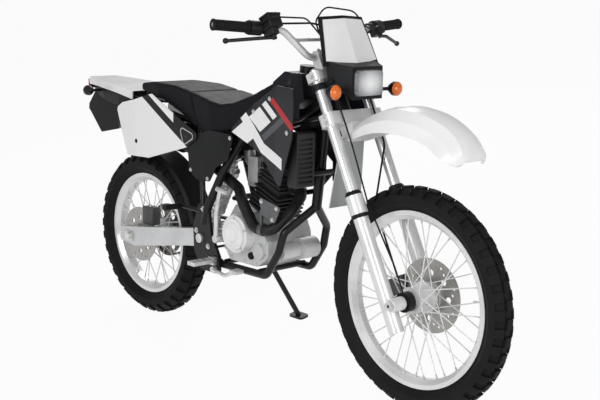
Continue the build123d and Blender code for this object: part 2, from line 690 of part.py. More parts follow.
def main_frame():
    """Tubular cradle frame with the seat rails, pivot plates and the stand's lug."""
    head = (fork_point(HEAD_LOW, -CLAMP_OFFSET), fork_point(HEAD_HIGH, -CLAMP_OFFSET))
    shape = rod(*head, HEAD_TUBE_RADIUS)
    shape += bent_tube([fork_point(HEAD_HIGH - 44, -CLAMP_OFFSET - 12), fork_point(HEAD_LOW + 16, -116),
                        (468.0, 0, 562.0)], 17.0, 60.0)
    pivot = PIVOT_HEIGHT
    spar = bent_tube([fork_point(HEAD_HIGH - 34, -CLAMP_OFFSET - 14, 14), (430, 48, 868), (190, 74, 800),
                      (100, 104, 650), (34, 119, pivot + 120), (14, 121, pivot + 55)], SPAR_RADIUS, 40.0)
    cradle = bent_tube([(468, 6, 566), (418, 98, 484), (398, CRADLE_HALF, 412), (336, CRADLE_HALF, 322),
                        (95, CRADLE_HALF, 318), (38, 120, pivot - 48)], CRADLE_RADIUS, 32.0)
    rail = bent_tube([(150, 75, 792), (-150, 80, 812), (-420, 70, 850), (-590, 55, 872)], RAIL_RADIUS, 60.0)
    strut = rod((8, 121, pivot + 105), (-60, 80, 806), 10.0)
    hanger = rod((0, 121, pivot + 96), (PILLION_X, 121, PILLION_Z), 8.0)
    gusset = block((72, 134), (84, 98), (692, 712))
    edge = [(-45, 40), (-40, -50), (0, -115), (105, -115), (105, -55), (60, 20), (40, 125), (-14, 125)]
    plate = side_prism([(x, pivot + z) for x, z in edge], PLATE_INNER, PLATE_INNER + PLATE_WIDTH, 12.0)
    plate -= cross_rod(0, pivot, 100, 140, PIVOT_BOLT + RUNNING_FIT)
    shape += both(spar + cradle + rail + strut + hanger + gusset + plate)
    for x, z, half, radius in FRAME_CROSS_TUBES:
        shape += cross_rod(x, z, -half, half, radius)
    for x, y, low, high in FRAME_POSTS:
        shape += both(rod((x, y, low), (x, y, high - SEAT_GAP), 8.0))
    ears = side_prism([(24, 672), (52, 672), (92, 690), (92, 712), (60, 712), (24, 700)], 17.3, 25.0, 5.0)
    ears -= cross_rod(SHOCK_TOP[0], SHOCK_TOP[2], 0, 40, SHOCK_PIN + RUNNING_FIT)
    shape += both(ears)
    lug_face = Vector(*STAND_PIVOT) - STAND_AXIS * 12.5
    lug = rod(lug_face, lug_face - STAND_AXIS * 22, 21.0)
    pin = rod(lug_face, Vector(*STAND_PIVOT) + STAND_AXIS * 15, STAND_PIN)
    bore = rod(head[0] - UP * 40, head[1] + UP * 40, STEM_RADIUS + RUNNING_FIT)
    return shape + lug + pin - bore


def swingarm():
    """Box-section rear fork with its pivot tube and cross beam."""
    x, _, z = REAR_AXLE
    pivot = PIVOT_HEIGHT
    edge = [(24, pivot + 24), (10, pivot + 34), (x + 70, z + 46), (x - 62, z + 30), (x - 68, z - 26),
            (x + 40, z - 34), (-100, pivot - 48), (8, pivot - 32), (24, pivot - 20)]
    arm = side_prism(edge, ARM_INNER, ARM_INNER + ARM_WIDTH, 9.0)
    arm -= cross_rod(x, z, 0, 200, AXLE_RADIUS + RUNNING_FIT)
    low = SHOCK_LOW[2]
    ears = side_prism([(-120, low - 27), (-70, low - 27), (-80, low + 14), (-110, low + 14)], 17.3, 25.0, 5.0)
    ears -= cross_rod(SHOCK_LOW[0], low, 0, 40, SHOCK_PIN + RUNNING_FIT)
    reach = ARM_INNER + ARM_WIDTH
    shape = both(arm) + cross_rod(0, pivot, -reach, reach, 24.0)
    shape += block((-126, -64), (-ARM_INNER - 5, ARM_INNER + 5), (pivot - 44, pivot + 10))
    shape += both(ears)
    return shape - cross_rod(0, pivot, -200, 200, PIVOT_BOLT + RUNNING_FIT)


def pivot_bolt():
    reach = PLATE_INNER + PLATE_WIDTH
    bolt = cross_rod(0, PIVOT_HEIGHT, -reach - 6, reach + 6, PIVOT_BOLT)
    for side in (-1, 1):
        bolt += cross_rod(0, PIVOT_HEIGHT, side * (reach + SEAT_GAP), side * (reach + 10), 17.0)
    return bolt


def rear_axle():
    """Spindle with collars, nuts and chain adjusters."""
    x, _, z = REAR_AXLE
    outer = ARM_INNER + ARM_WIDTH + SEAT_GAP
    shape = cross_rod(x, z, -outer - 14, outer + 14, AXLE_RADIUS)
    for side in (-1, 1):
        shape += cross_rod(x, z, side * (ARM_INNER - SEAT_GAP), side * (ARM_INNER - 6), 13.0)
        low, high = sorted((side * outer, side * (outer + 4)))
        shape += block((x - 26, x + 26), (low, high), (z - 19, z + 19))
        shape += cross_rod(x, z, side * outer, side * (outer + 13), 15.0)
    return shape


def rear_shock():
    """Single damper with its coil spring."""
    axis = Vector(*SHOCK_TOP) - Vector(*SHOCK_LOW)
    length = axis.length
    stem = [(0, 16), (13, 16), (13, 52), (34, 52), (34, 60)]
    coils = 7
    pitch = (length - 60 - 62) / coils
    for index in range(coils):
        base = 60 + pitch * index
        middle, end = base + 0.5 * pitch, base + pitch
        stem += [(27, middle - 5), (34, middle), (34, end - 4), (28, end)]
    cap = [(34, 62), (34, 52), (22, 52), (22, 36), (15, 36), (15, 16), (0, 16)]
    stem += [(radius, length - below) for radius, below in cap]
    body = revolve(make_face(Polyline(*[(r, 0, h) for r, h in stem], close=True)), axis=Axis.Z)
    body = Plane(origin=SHOCK_LOW, z_dir=axis).location * body
    for x, _, z in (SHOCK_LOW, SHOCK_TOP):
        body += cross_rod(x, z, -17, 17, 17.0)
        body += cross_rod(x, z, -27, 27, SHOCK_PIN)
    return body


def crankcase():
    """Engine block with its side covers and the starter in front."""
    core = side_prism([(45, 362), (92, ENGINE_FLOOR), (300, ENGINE_FLOOR), (346, 372), (346, 440), (321, 491),
                       (189, 539), (110, 530), (60, 460)], -55, 55, 8.0)
    right = side_prism([(118, 392), (150, 347), (300, 347), (352, 388), (350, 440), (305, 492), (250, 524),
                        (160, 512)], -112, -55, 20.0)
    left = side_prism([(152, 380), (200, 347), (300, 347), (345, 400), (320, 488), (250, 518), (180, 500)],
                      55, 100, 20.0)
    shape = core + right + left
    for x, z, low, high, radius in ENGINE_BOSSES:
        shape += cross_rod(x, z, low, high, radius)
    return shape


def clutch_cover():
    """Round cover on the right of the engine."""
    shape = cross_rod(221.0, 454.0, -150.0, -112.0 - SEAT_GAP, 65.0)
    shape += cross_rod(221.0, 454.0, -160.0, -149.0, 55.0)
    return shape


def cylinder():
    """Finned barrel."""
    shape = block((-46, 46), (-46, 46), (SEAT_GAP, CYLINDER_HEIGHT))
    for index in range(6):
        base = 12 + 15 * index
        shape += block((-64, 64), (-66, 66), (base, base + 6))
    return CYLINDER.location * shape


def cylinder_head():
    """Cylinder head with fins, rocker cover and the exhaust port."""
    shape = block((-50, 50), (-56, 56), (CYLINDER_HEIGHT + SEAT_GAP, 166))
    for base in (114, 129, 144):
        shape += block((-60, 60), (-64, 64), (base, base + 6))
    shape += block((-42, 42), (-52, 52), (160, HEAD_TOP))
    shape += rod((40, 0, PORT_HEIGHT), (PORT_REACH, 0, PORT_HEIGHT), 27.0)
    shape += rod((-INLET_REACH, 0, 128), (-40, 0, 128), 22.0)
    return CYLINDER.location * shape


def carburettor():
    """Carburettor with its float bowl, between the head and the airbox."""
    start = (CYLINDER.location * Pos(-INLET_REACH - SEAT_GAP, 0, 128)).position
    elbow = (CYLINDER.location * Pos(-INLET_REACH - 42, 0, 128)).position
    mouth = (AIRBOX_MOUTH_X, 0, AIRBOX_FLOOR - SEAT_GAP)
    shape = bent_tube([start, elbow, (AIRBOX_MOUTH_X, 0, 682.0), mouth], 21.0, 26.0)
    middle = elbow + Vector(0, 0, -8)
    shape += Plane(origin=middle, z_dir=(0, 0, 1)).location * block((-26, 26), (-44, 30), (-62, 42))
    return shape


def airbox():
    """Airbox under the seat with its black side covers."""
    body = block((-190, 146), (-50, 50), (AIRBOX_FLOOR, AIRBOX_FLOOR + 75))
    cover = side_prism([(-70, 722), (-62, 640), (-20, 612), (56, 612), (96, 668), (160, 700), (190, 790),
                        (60, 795), (-70, 760)], COVER_Y, COVER_Y + 3, 14.0)
    stay = cross_rod(-20, 745, 49, COVER_Y + 1, 8.0)
    return body + both(cover + stay)


def exhaust():
    """Header down the front of the engine and back inside the frame to the silencer."""
    port = (CYLINDER.location * Pos(PORT_REACH + SEAT_GAP, 0, PORT_HEIGHT)).position
    elbow = (CYLINDER.location * Pos(PORT_REACH + 38, 0, PORT_HEIGHT)).position
    path = [port, elbow] + [row[:3] for row in HEADER_BENDS] + [(-150, -96, 722)]
    pipe = bent_tube(path, HEADER_RADIUS, [30.0] + [row[3] for row in HEADER_BENDS])
    can_front = Vector(-140, -95, 721)
    can_rear = Vector(-540, -88, 768)
    pipe += rod(can_front, can_rear, 31.0)
    pipe += rod(can_rear, can_rear + (can_rear - can_front) * 0.06, 15.0)
    return pipe


def heat_shield():
    """Guard plate beside the barrel, clipped to the header below it."""
    plate = side_prism([(338, 600), (446, 578), (416, 520), (354, 541)], -142, -138, 8.0)
    start, end = Vector(*HEADER_BENDS[1][:3]), Vector(*HEADER_BENDS[2][:3])
    low, high = start + (end - start) * 0.4, start + (end - start) * 0.62
    clip = rod(low, high, HEADER_RADIUS + 3) - rod(low, high, HEADER_RADIUS + SEAT_GAP)
    stem = block((344, 354), (-142, -134), (507.5, 556))
    return plate + clip + stem


def radiators():
    """Radiator on each side of the frame, its core slotted between the fins."""
    low, high = 650.0, 830.0
    back, front = RADIATOR_BACK, RADIATOR_BACK + RADIATOR_DEPTH
    corners = [(back, low), (front, low), (front, high), (back, high)]
    half = side_prism(corners, RADIATOR_INNER, RADIATOR_OUTER, 8.0)
    slots = []
    for index in range(RADIATOR_SLOTS):
        base = low + 16 + (high - low - 28) / RADIATOR_SLOTS * index
        across = (RADIATOR_INNER + 10, RADIATOR_OUTER - 8)
        slots.append(block((front - 5, front + 8), across, (base, base + 7)))
    return both(half - slots)


def hoses():
    """Coolant hoses from the radiators to the engine."""
    return Part() + [bent_tube(points, radius, list(bends)) for radius, bends, points in HOSE_RUNS]


def fuel_tank():
    """Tank with a tunnel for the spars."""
    body = side_prism([(360, 980), (402, 1017), (462, 1012), (470, 905), (470, 866), (248, 866), (266, 880),
                       (368, 957)], -122, 122, 6.0)
    plan = symmetric([(480, 50), (440, 96), (400, 122), (230, 122)])
    body = body & plan_prism(plan, 800, 1100, 14.0)
    slope = front_prism([(122, 800), (122, 930), (84, 1030), (-84, 1030), (-122, 930), (-122, 800)], 200, 500)
    tunnel = side_prism([(200, 800), (520, 800), (520, 965), (420, TANK_TUNNEL), (200, TANK_TUNNEL)], -74, 74)
    return (body & slope) - tunnel


def tank_cap():
    return rod((420, 0, 1014.7), (422, 0, 1034), 30.0) - fuel_tank()


def seat():
    """Long saddle with a step for the passenger, its outline over the base height."""
    side = [(-447, 88), (-328, 101), (-180, 97), (-20, 72), (93, 50), (160, 60), (250, 92), (350, 140),
            (356, 114), (254, 38), (150, -36), (46, -70), (0, -60), (-150, 0), (-300, 50), (-447, 64)]
    body = side_prism([(x, SEAT_BASE + z) for x, z in side], -128, 128)
    plan = symmetric([(356, 92), (200, 108), (46, 126), (-100, 112), (-300, 104), (-420, 88), (-450, 60)])
    body = body & plan_prism(plan, SEAT_BASE - 140, SEAT_BASE + 160, 14.0)
    body -= block((-460, 200), (-104, 104), (SEAT_BASE - 140, SEAT_BASE))
    return body - block((190, 400), (-90, 90), (SEAT_BASE - 140, SEAT_BASE + 28))


def band(points, thickness):
    """Plan outline of a sheet: its inner face and the same face moved out."""
    return points + [(x, y + thickness) for x, y in reversed(points)]


def shrouds():
    """Side covers of the tank and radiators, with their fixing posts."""
    face = [(168, 806), (343, 744), (455, 645), (478, 690), (528, 812), (536, 905), (532, 972), (437, 976),
            (300, 905)]
    sheet = side_prism(face, 100, 200, 10.0)
    sheet = sheet & plan_prism(band([(150, 126), (300, 131), (430, 148), (545, 168)], SKIN), 600, 1000)
    for x, z, reach in ((300, 880, 132), (396, 930, 145)):
        sheet += cross_rod(x, z, 122 + SEAT_GAP, reach, 9.0)
    return both(sheet)


def side_panels():
    """Big rear side panels, posted off the seat rails."""
    face = [(-546, 826), (-500, 850), (-406, 868), (-290, 898), (-150, 836), (8, 770), (-75, 720),
            (-311, 656), (-466, 650)]
    sheet = side_prism(face, 100, 180, 16.0)
    plan = band([(-560, 116), (-400, 130), (-200, PANEL_Y), (20, PANEL_Y)], PANEL_THICKNESS)
    sheet = sheet & plan_prism(plan, 600, 950)
    for x, z, low, reach in ((-150, 812, 91.4, 134), (-400, 847, 82.2, 131)):
        sheet += cross_rod(x, z, low, reach, 8.0)
    return both(sheet)


def rear_fender():
    """White tail over the rear wheel, posted on the rails' ends."""
    body = side_prism([(-452, 898), (-600, 914), (-838, 928), (-850, 906), (-838, 898), (-720, 894),
                       (-560, 882), (-452, 864)], -120, 120, 4.0)
    plan = symmetric([(-450, 112), (-560, 112), (-700, 92), (-850, 58)])
    body = body & plan_prism(plan, 800, 1000)
    core_plan = symmetric([(-440, 112 - SKIN), (-560, 112 - SKIN), (-700, 92 - SKIN), (-846, 58 - SKIN)])
    hollow = [(-440, 893), (-600, 909), (-834, 922), (-844, 906), (-834, 800), (-440, 800)]
    core = side_prism(hollow, -120, 120)
    shape = body - (core & plan_prism(core_plan, 700, 1000))
    return shape + both(rod((-560, 56, 881), (-560, 56, 908), 8.0))


def tail_lamp():
    return block((-868, -849 - SEAT_GAP), (-50, 50), (880, 916)) - rear_fender()


def rear_mudguard():
    """Black inner mudguard with its cheeks under the tail and the bolt holes for a number plate."""
    side = [(-800, 884), (-862, 815), (-865, 795), (-840, 772), (-771, 704), (-643, 729), (-612, 800),
            (-604, 852), (-604, 888)]
    core = [(-797, 879), (-856, 813), (-858, 797), (-835, 774), (-790, 660), (-600, 660), (-560, 790),
            (-560, 884)]
    shape = side_prism(side, -52, 52) - side_prism(core, -48, 48)
    cheek = side_prism([(-455, 878), (-455, 836), (-600, 832), (-720, 850), (-800, 874), (-800, 888),
                        (-604, 888)], 40, 120)
    rim_plan = [(-800, 61), (-700, 84), (-560, 104), (-440, 104)]
    cheek = cheek & plan_prism(band(rim_plan, -SKIN), 800, 900)
    web = plan_prism([(-800, 20), (-800, 60), (-700, 83), (-606, 95), (-606, 20)], 884, 888)
    shape += both(cheek + web)
    for y in (-PLATE_HOLE_HALF, PLATE_HOLE_HALF):
        centre = PLATE_CENTRE + Vector(0, y, 0)
        shape -= rod(centre - PLATE_NORMAL * 20, centre + PLATE_NORMAL * 20, PLATE_HOLE_RADIUS)
    return shape + both(rod((-640, 40, 886), (-640, 40, 911 - SEAT_GAP), 7.0))


def rear_indicators():
    """Turn signals on stalks from the mudguard's cheeks, facing back."""
    spot = Vector(-732, REAR_INDICATOR_Y, 880)
    stalk = rod((spot.X, CHEEK_Y + SEAT_GAP, spot.Z), spot, 6.0)
    lamp = Pos(*spot) * Rot(0, 180, 0) * indicator(INDICATOR_RADIUS - 3)
    return both(lamp + stalk)


def footpegs():
    """Rider's pegs on the frame plates."""
    inner = PLATE_INNER + PLATE_WIDTH + SEAT_GAP
    peg = block((60, 100), (inner + 14, inner + 104), (328, 342))
    for index in range(3):
        peg -= block((68, 92), (inner + 24 + 26 * index, inner + 42 + 26 * index), (320, 350))
    mount = block((66, 94), (inner, inner + 16), (318, 346))
    return both(peg + mount)


def pillion_pegs():
    peg = cross_rod(PILLION_X, PILLION_Z, 129.4, 200.0, 11.0)
    return both(peg)


def brake_pedal():
    inner = -(PLATE_INNER + PLATE_WIDTH + SEAT_GAP)
    shape = cross_rod(86, 301, inner - 16, inner, 11.0)
    shape += bent_tube([(86, inner - 10, 301), (165, -150, 296), (232, -152, 322)], 7.0, 30.0)
    return shape + block((218, 252), (-172, -134), (318, 330))


def gear_lever():
    shape = cross_rod(172, 385, 108 + SEAT_GAP, 130, 9.0)
    shape += bent_tube([(172, 124, 385), (240, 128, 372), (312, 132, 380)], 6.5, 30.0)
    return shape + cross_rod(312, 380, 126, 166, 9.0)


def kick_lever():
    shape = cross_rod(138, 425, -172, -134 - SEAT_GAP, 14.0)
    shape += bent_tube([(138, -167, 425), (146, -170, 520), (168, -170, 604)], 8.0, 40.0)
    return shape + rod((152, -171, 604), (212, -171, 596), 9.0)


def chain_line(offset):
    """Closed outline round both chain wheels, moved out from the pitch line."""
    big = sprocket_radius(REAR_TEETH) + offset
    small = sprocket_radius(FRONT_TEETH) + offset
    rear = Vector(REAR_AXLE[0], REAR_AXLE[2])
    front = Vector(FRONT_SPROCKET_X, PIVOT_HEIGHT + FRONT_SPROCKET_RISE)
    along = (front - rear).normalized()
    across = Vector(-along.Y, along.X)
    slope = asin((big - small) / (front - rear).length)
    up = along * sin(slope) + across * cos(slope)
    down = along * sin(slope) - across * cos(slope)
    corners = [rear + up * big, front + up * small, front + along * small, front + down * small,
               rear + down * big, rear - along * big]
    points = [(v.X, CHAIN_Y, v.Y) for v in corners]
    return make_face([Line(points[0], points[1]), ThreePointArc(points[1], points[2], points[3]),
                      Line(points[3], points[4]), ThreePointArc(points[4], points[5], points[0])])


def drive_chain():
    """Closed chain: two rows of side plates with the rollers' band between them."""
    plates = chain_line(CHAIN_OUTSIDE) - chain_line(-CHAIN_INSIDE)
    rollers = chain_line(ROLLER_RADIUS) - chain_line(-ROLLER_RADIUS)
    inner = CHAIN_HALF - CHAIN_PLATE
    shape = Pos(0, -inner, 0) * extrude(rollers, amount=2 * inner, dir=(0, 1, 0))
    for low in (-CHAIN_HALF, inner):
        shape += Pos(0, low, 0) * extrude(plates, amount=CHAIN_PLATE, dir=(0, 1, 0))
    return shape


def front_sprocket():
    x, z = FRONT_SPROCKET_X, PIVOT_HEIGHT + FRONT_SPROCKET_RISE
    reach = sprocket_radius(FRONT_TEETH) - ROLLER_RADIUS - SEAT_GAP
    shape = cross_rod(x, z, CHAIN_Y - 3, CHAIN_Y + 3, reach)
    return shape + cross_rod(x, z, CORE_HALF + SEAT_GAP, CHAIN_Y + 8, 11.0)


def rear_caliper():
    """Brake caliper over the rear disc, on the right arm."""
    x, _, z = REAR_AXLE
    body = block((x + 44, x + 112), (-ARM_INNER + SEAT_GAP, -44), (z + 52, z + 122))
    slot = cross_rod(x, z, REAR_DISC_Y - 2.5, REAR_DISC_Y + DISC_THICKNESS + 2.5, REAR_DISC_RADIUS + 5)
    return body - slot


def side_stand():
    """Stand leg with its knuckle and foot plate."""
    pivot = Vector(*STAND_PIVOT)
    shape = rod(pivot - STAND_AXIS * 12, pivot + STAND_AXIS * 12, 14.0)
    shape += rod(pivot, (STAND_FOOT * Pos(0, 0, 5)).position, STAND_TUBE)
    foot = extrude(RectangleRounded(74, 46, 14), amount=STAND_FOOT_THICKNESS)
    shape += STAND_FOOT * foot
    return shape - rod(pivot - STAND_AXIS * 30, pivot + STAND_AXIS * 30, STAND_PIN + RUNNING_FIT)


# Nodes by the body they ride on
BODIES = {
    "chassis": [main_frame, swingarm, pivot_bolt, rear_axle, rear_shock, crankcase, clutch_cover, cylinder,
                cylinder_head, carburettor, airbox, exhaust, heat_shield, radiators, hoses, fuel_tank,
                tank_cap, seat, shrouds, side_panels, rear_fender, tail_lamp, rear_mudguard, rear_indicators,
                footpegs, pillion_pegs, brake_pedal, gear_lever, kick_lever, drive_chain, front_sprocket,
                rear_caliper],
    "steering": [fork_stanchions, fork_sliders, lower_clamp, upper_clamp, handlebar, grips, controls, levers,
                 front_fender, number_shield, headlight_mask, headlight, instrument, front_indicators,
                 front_axle, speedo_drive, front_caliper, cables],
    "front_wheel": [front_tyre, front_rim, front_hub, front_disc],
    "rear_wheel": [rear_tyre, rear_rim, rear_hub, rear_disc, rear_sprocket],
    "side_stand": [side_stand],
}


def row_location():
    """Lean onto the stand, floor at zero, the middle of the outline over the origin."""
    low, high = [], []
    for make in (front_tyre, rear_tyre, tail_lamp, grips, rear_mudguard):
        box = (LEANED * make()).bounding_box()
        low.append((box.min.X, box.min.Y, box.min.Z))
        high.append((box.max.X, box.max.Y, box.max.Z))
    middle = [(min(a) + max(b)) / 2 for a, b in zip(zip(*low), zip(*high))]
    return Location((-middle[0], -middle[1], -min(row[2] for row in low))) * LEANED


def main():
    os.makedirs("parts", exist_ok=True)
    place = row_location()
    for makers in BODIES.values():
        for make in makers:
            shape = place * make()
            shape.label = make.__name__
            export_step(shape, f"parts/{make.__name__}.step")


if __name__ == "__main__":
    main()
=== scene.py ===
from math import asin, cos, pi, radians, sin, sqrt

import bmesh
import bpy
from mathutils import Matrix, Vector


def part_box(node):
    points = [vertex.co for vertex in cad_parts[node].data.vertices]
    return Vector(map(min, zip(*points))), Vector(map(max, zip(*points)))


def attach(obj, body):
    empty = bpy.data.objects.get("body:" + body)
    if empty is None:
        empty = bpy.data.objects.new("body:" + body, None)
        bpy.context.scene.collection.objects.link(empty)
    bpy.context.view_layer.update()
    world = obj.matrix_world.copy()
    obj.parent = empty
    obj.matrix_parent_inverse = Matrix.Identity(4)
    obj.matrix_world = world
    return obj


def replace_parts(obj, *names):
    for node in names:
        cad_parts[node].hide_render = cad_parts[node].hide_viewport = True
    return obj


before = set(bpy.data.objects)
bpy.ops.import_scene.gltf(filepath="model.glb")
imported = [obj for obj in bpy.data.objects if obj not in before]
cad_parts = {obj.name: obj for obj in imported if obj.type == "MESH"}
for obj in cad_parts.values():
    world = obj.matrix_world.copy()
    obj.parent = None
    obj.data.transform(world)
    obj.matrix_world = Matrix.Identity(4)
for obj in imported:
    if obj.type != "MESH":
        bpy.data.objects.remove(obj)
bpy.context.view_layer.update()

# Frame and side stand: welded steel tubes in semi-gloss black powder coat, with
# zinc-plated bolts through the pivot plates.

LEAN = radians(9.0)
REAR_AXLE = Vector((-480.178, 0.0, 325.0))
SCALE = Matrix.Scale(0.001, 4)
axle_low, axle_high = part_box("rear_axle")
UPRIGHT_TO_LEANED = Matrix.Rotation(-LEAN, 4, "X")
PARKED_AT = (axle_low + axle_high) / 2 - (UPRIGHT_TO_LEANED @ SCALE) @ REAR_AXLE
PARKED = Matrix.Translation(PARKED_AT) @ UPRIGHT_TO_LEANED @ SCALE


class Wire:
    """One output in a material's node tree; plain arithmetic on it adds Math nodes."""

    def __init__(self, tree, socket=None):
        self.tree = tree
        self.socket = socket

    def join(self, target, links):
        for name, value in links.items():
            if isinstance(value, Wire):
                self.tree.links.new(value.socket, target.inputs[name])
            else:
                target.inputs[name].default_value = value

    def node(self, kind, settings, links, out=0):
        made = self.tree.nodes.new("ShaderNode" + kind)
        for name, value in settings.items():
            setattr(made, name, value)
        self.join(made, links)
        return Wire(self.tree, made.outputs[out])

    def math(self, operation, first, second=0.0):
        return self.node("Math", {"operation": operation}, {0: first, 1: second})

    def __add__(self, other):
        return self.math("ADD", self, other)

    def __sub__(self, other):
        return self.math("SUBTRACT", self, other)

    def __rsub__(self, other):
        return self.math("SUBTRACT", other, self)

    def __mul__(self, other):
        return self.math("MULTIPLY", self, other)

    def __gt__(self, other):
        return self.math("GREATER_THAN", self, other)

    def __lt__(self, other):
        return self.math("LESS_THAN", self, other)

    __radd__ = __add__
    __rmul__ = __mul__

    def least(self, other):
        return self.math("MINIMUM", self, other)

    def most(self, other):
        return self.math("MAXIMUM", self, other)

    def size(self):
        return self.math("ABSOLUTE", self)

    def wave(self):
        return self.math("SINE", self)

    def root(self):
        return self.math("SQRT", self)

    def between(self, start, end):
        """1 from start to end, 0 outside."""
        return (self > start) * (self < end)

    def rise(self, start, end):
        """0 before start, 1 after end, eased between."""
        return self.node("MapRange", {"interpolation_type": "SMOOTHSTEP"}, {0: self, 1: start, 2: end})

    def noise(self, scale, detail=3.0):
        return self.node("TexNoise", {}, {"Vector": self, "Scale": scale, "Detail": detail})

    def split(self):
        """The three parts of a place."""
        first = self.node("SeparateXYZ", {}, {0: self})
        return [Wire(self.tree, socket) for socket in first.socket.node.outputs]

    def tint(self, low, high):
        """Colour from low to high, as this value goes from 0 to 1."""
        return self.node("Mix", {"data_type": "RGBA"}, {0: self, 6: low, 7: high}, out=2)

    def relief(self, strength, depth, under=None):
        """Bumps this high, in metres, over the bumps under them."""
        links = {"Strength": strength, "Distance": depth, "Height": self}
        if under is not None:
            links["Normal"] = under
        return self.node("Bump", {}, links)


def colour(red, green, blue):
    return (red, green, blue, 1.0)


def material(name):
    """A new material, its shader, and the place on the parked bike in metres."""
    made = bpy.data.materials.new(name)
    made.use_nodes = True
    shader = made.node_tree.nodes["Principled BSDF"]
    place = Wire(made.node_tree).node("TexCoord", {}, {}, out="Object")
    return made, shader, place


def on_bike(place):
    """The same place on the upright bike: x, y and z in metres."""
    back = Matrix.Rotation(LEAN, 3, "X")
    links = {"Vector": place, "Location": -(back @ PARKED_AT), "Rotation": (LEAN, 0.0, 0.0)}
    return place.node("Mapping", {"vector_type": "POINT"}, links)


def finish(name, dark, light, rough, metal=0.0, coat=0.0, grain=900.0, depth=0.0003, patch=9.0, shine=0.5):
    """A finish with soft patches of tone, a fine grain of some depth, and uneven gloss."""
    made, shader, place = material(name)
    shader.inputs["Specular IOR Level"].default_value = shine
    broad = place.noise(patch, 4.0)
    fine = place.noise(grain, 2.0)
    gloss = rough + (fine - 0.5) * 0.12 + (broad - 0.5) * 0.14
    place.join(shader, {"Base Color": broad.rise(0.3, 0.7).tint(dark, light), "Roughness": gloss,
                        "Metallic": metal, "Coat Weight": coat, "Coat Roughness": 0.12,
                        "Normal": fine.relief(0.35, depth)})
    return made


def dress(made, *nodes):
    """Gives solid pieces their finish."""
    for name in nodes:
        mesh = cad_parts[name].data
        mesh.materials.clear()
        mesh.materials.append(made)


powder_black = finish("powder_black", colour(0.005, 0.005, 0.006), colour(0.010, 0.010, 0.011), 0.34,
                      coat=0.08, grain=700.0, depth=0.0002, shine=0.25)
dress(powder_black, "main_frame", "side_stand")


def stood(at, out):
    """Matrix that stands a shape made along +Z at a point of the bike."""
    return Matrix.Translation(at) @ Vector(out).to_track_quat("Z", "Y").to_matrix().to_4x4()


WASHER_SHARE, WASHER_SPREAD = 0.28, 1.4
HEAD_SHARE, HEAD_TAPER = 0.76, 0.9


def bolt(bm, at, out, radius, height):
    """Hexagon head, sunk a little into its washer."""
    stand = stood(at, out)
    washer, head = height * WASHER_SHARE, height * HEAD_SHARE
    bmesh.ops.create_cone(bm, cap_ends=True, segments=20, radius1=radius * WASHER_SPREAD,
                          radius2=radius * WASHER_SPREAD, depth=washer,
                          matrix=stand @ Matrix.Translation((0, 0, washer / 2)))
    bmesh.ops.create_cone(bm, cap_ends=True, segments=6, radius1=radius, radius2=radius * HEAD_TAPER,
                          depth=head, matrix=stand @ Matrix.Translation((0, 0, height - head / 2)))


def lathe(bm, profile, at, out, steps=32, closed=False):
    """Turns (radius, height) points about a line that stands at a point."""
    stand = stood(at, out)
    verts = [bm.verts.new(stand @ Vector((radius, 0, height))) for radius, height in profile]
    pairs = list(zip(verts, verts[1:] + verts[:1])) if closed else zip(verts, verts[1:])
    edges = [bm.edges.new(pair) for pair in pairs]
    bmesh.ops.spin(bm, geom=verts + edges, cent=at, axis=stand.to_3x3() @ Vector((0, 0, 1)),
                   angle=2 * pi, steps=steps, use_merge=True)


def piece(bm, name, body, made, smooth=35.0):
    """Parks a mesh that was made in the bike's own millimetres, and fixes it to its body."""
    bmesh.ops.remove_doubles(bm, verts=bm.verts, dist=0.002)
    bmesh.ops.transform(bm, matrix=PARKED, verts=bm.verts)
    bmesh.ops.recalc_face_normals(bm, faces=bm.faces)
    mesh = bpy.data.meshes.new(name)
    bm.to_mesh(mesh)
    bm.free()
    solid_normals = mesh.attributes.get("custom_normal")
    if solid_normals:
        mesh.attributes.remove(solid_normals)
    mesh.materials.append(made)
    mesh.shade_smooth()
    mesh.set_sharp_from_angle(angle=radians(smooth))
    obj = bpy.data.objects.new(name, mesh)
    bpy.context.scene.collection.objects.link(obj)
    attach(obj, body)
    return obj


plated_steel = finish("plated_steel", colour(0.58, 0.58, 0.58), colour(0.78, 0.78, 0.77), 0.32,
                      metal=0.75, grain=2200.0, depth=0.00008, patch=40.0)
dress(plated_steel, "pivot_bolt")
PLATE_FACE = 127.5
plate_bolts = bmesh.new()
for side in (-1, 1):
    for x, z in ((14.0, 508.0), (-24.0, 424.0), (44.0, 376.0)):
        bolt(plate_bolts, (x, side * PLATE_FACE, z), (0, side, 0), 7.0, 6.0)
piece(plate_bolts, "plate_bolts", "chassis", plated_steel)

# Swingarm and damper: a silver-painted box-section fork on a plated spindle, with chain
# adjuster bolts at its ends, and a single damper with a coil spring.

painted_silver = finish("painted_silver", colour(0.58, 0.59, 0.60), colour(0.70, 0.71, 0.72), 0.38,
                        metal=0.6, coat=0.2, grain=1600.0, depth=0.0001)
dress(painted_silver, "swingarm")
dress(plated_steel, "rear_axle", "rear_shock")
adjuster_bolts = bmesh.new()
for side in (-1, 1):
    bolt(adjuster_bolts, (-545.5, side * 99.0, 327.0), (-1, 0, 0), 6.0, 9.0)
piece(adjuster_bolts, "adjuster_bolts", "chassis", plated_steel)

# Engine: sand-cast grey cases with a brighter starter, a finned barrel painted black,
# a bright clutch cover, and the screws, filler cap and plug cap on them.

CYLINDER_TILT = radians(20.0)
CYLINDER_FOOT = Vector((255.0, 0.0, 515.0))
CYLINDER_AHEAD = Vector((cos(CYLINDER_TILT), 0.0, -sin(CYLINDER_TILT)))
CYLINDER_UP = Vector((sin(CYLINDER_TILT), 0.0, cos(CYLINDER_TILT)))
CLUTCH = Vector((221.0, -150.0, 454.0))
CLUTCH_SCREW_RING = 60.0
RIGHT_CASE, LEFT_CASE = -112.0, 100.0
HEAD_TOP = 196.0
STARTER_BACK = 0.3475


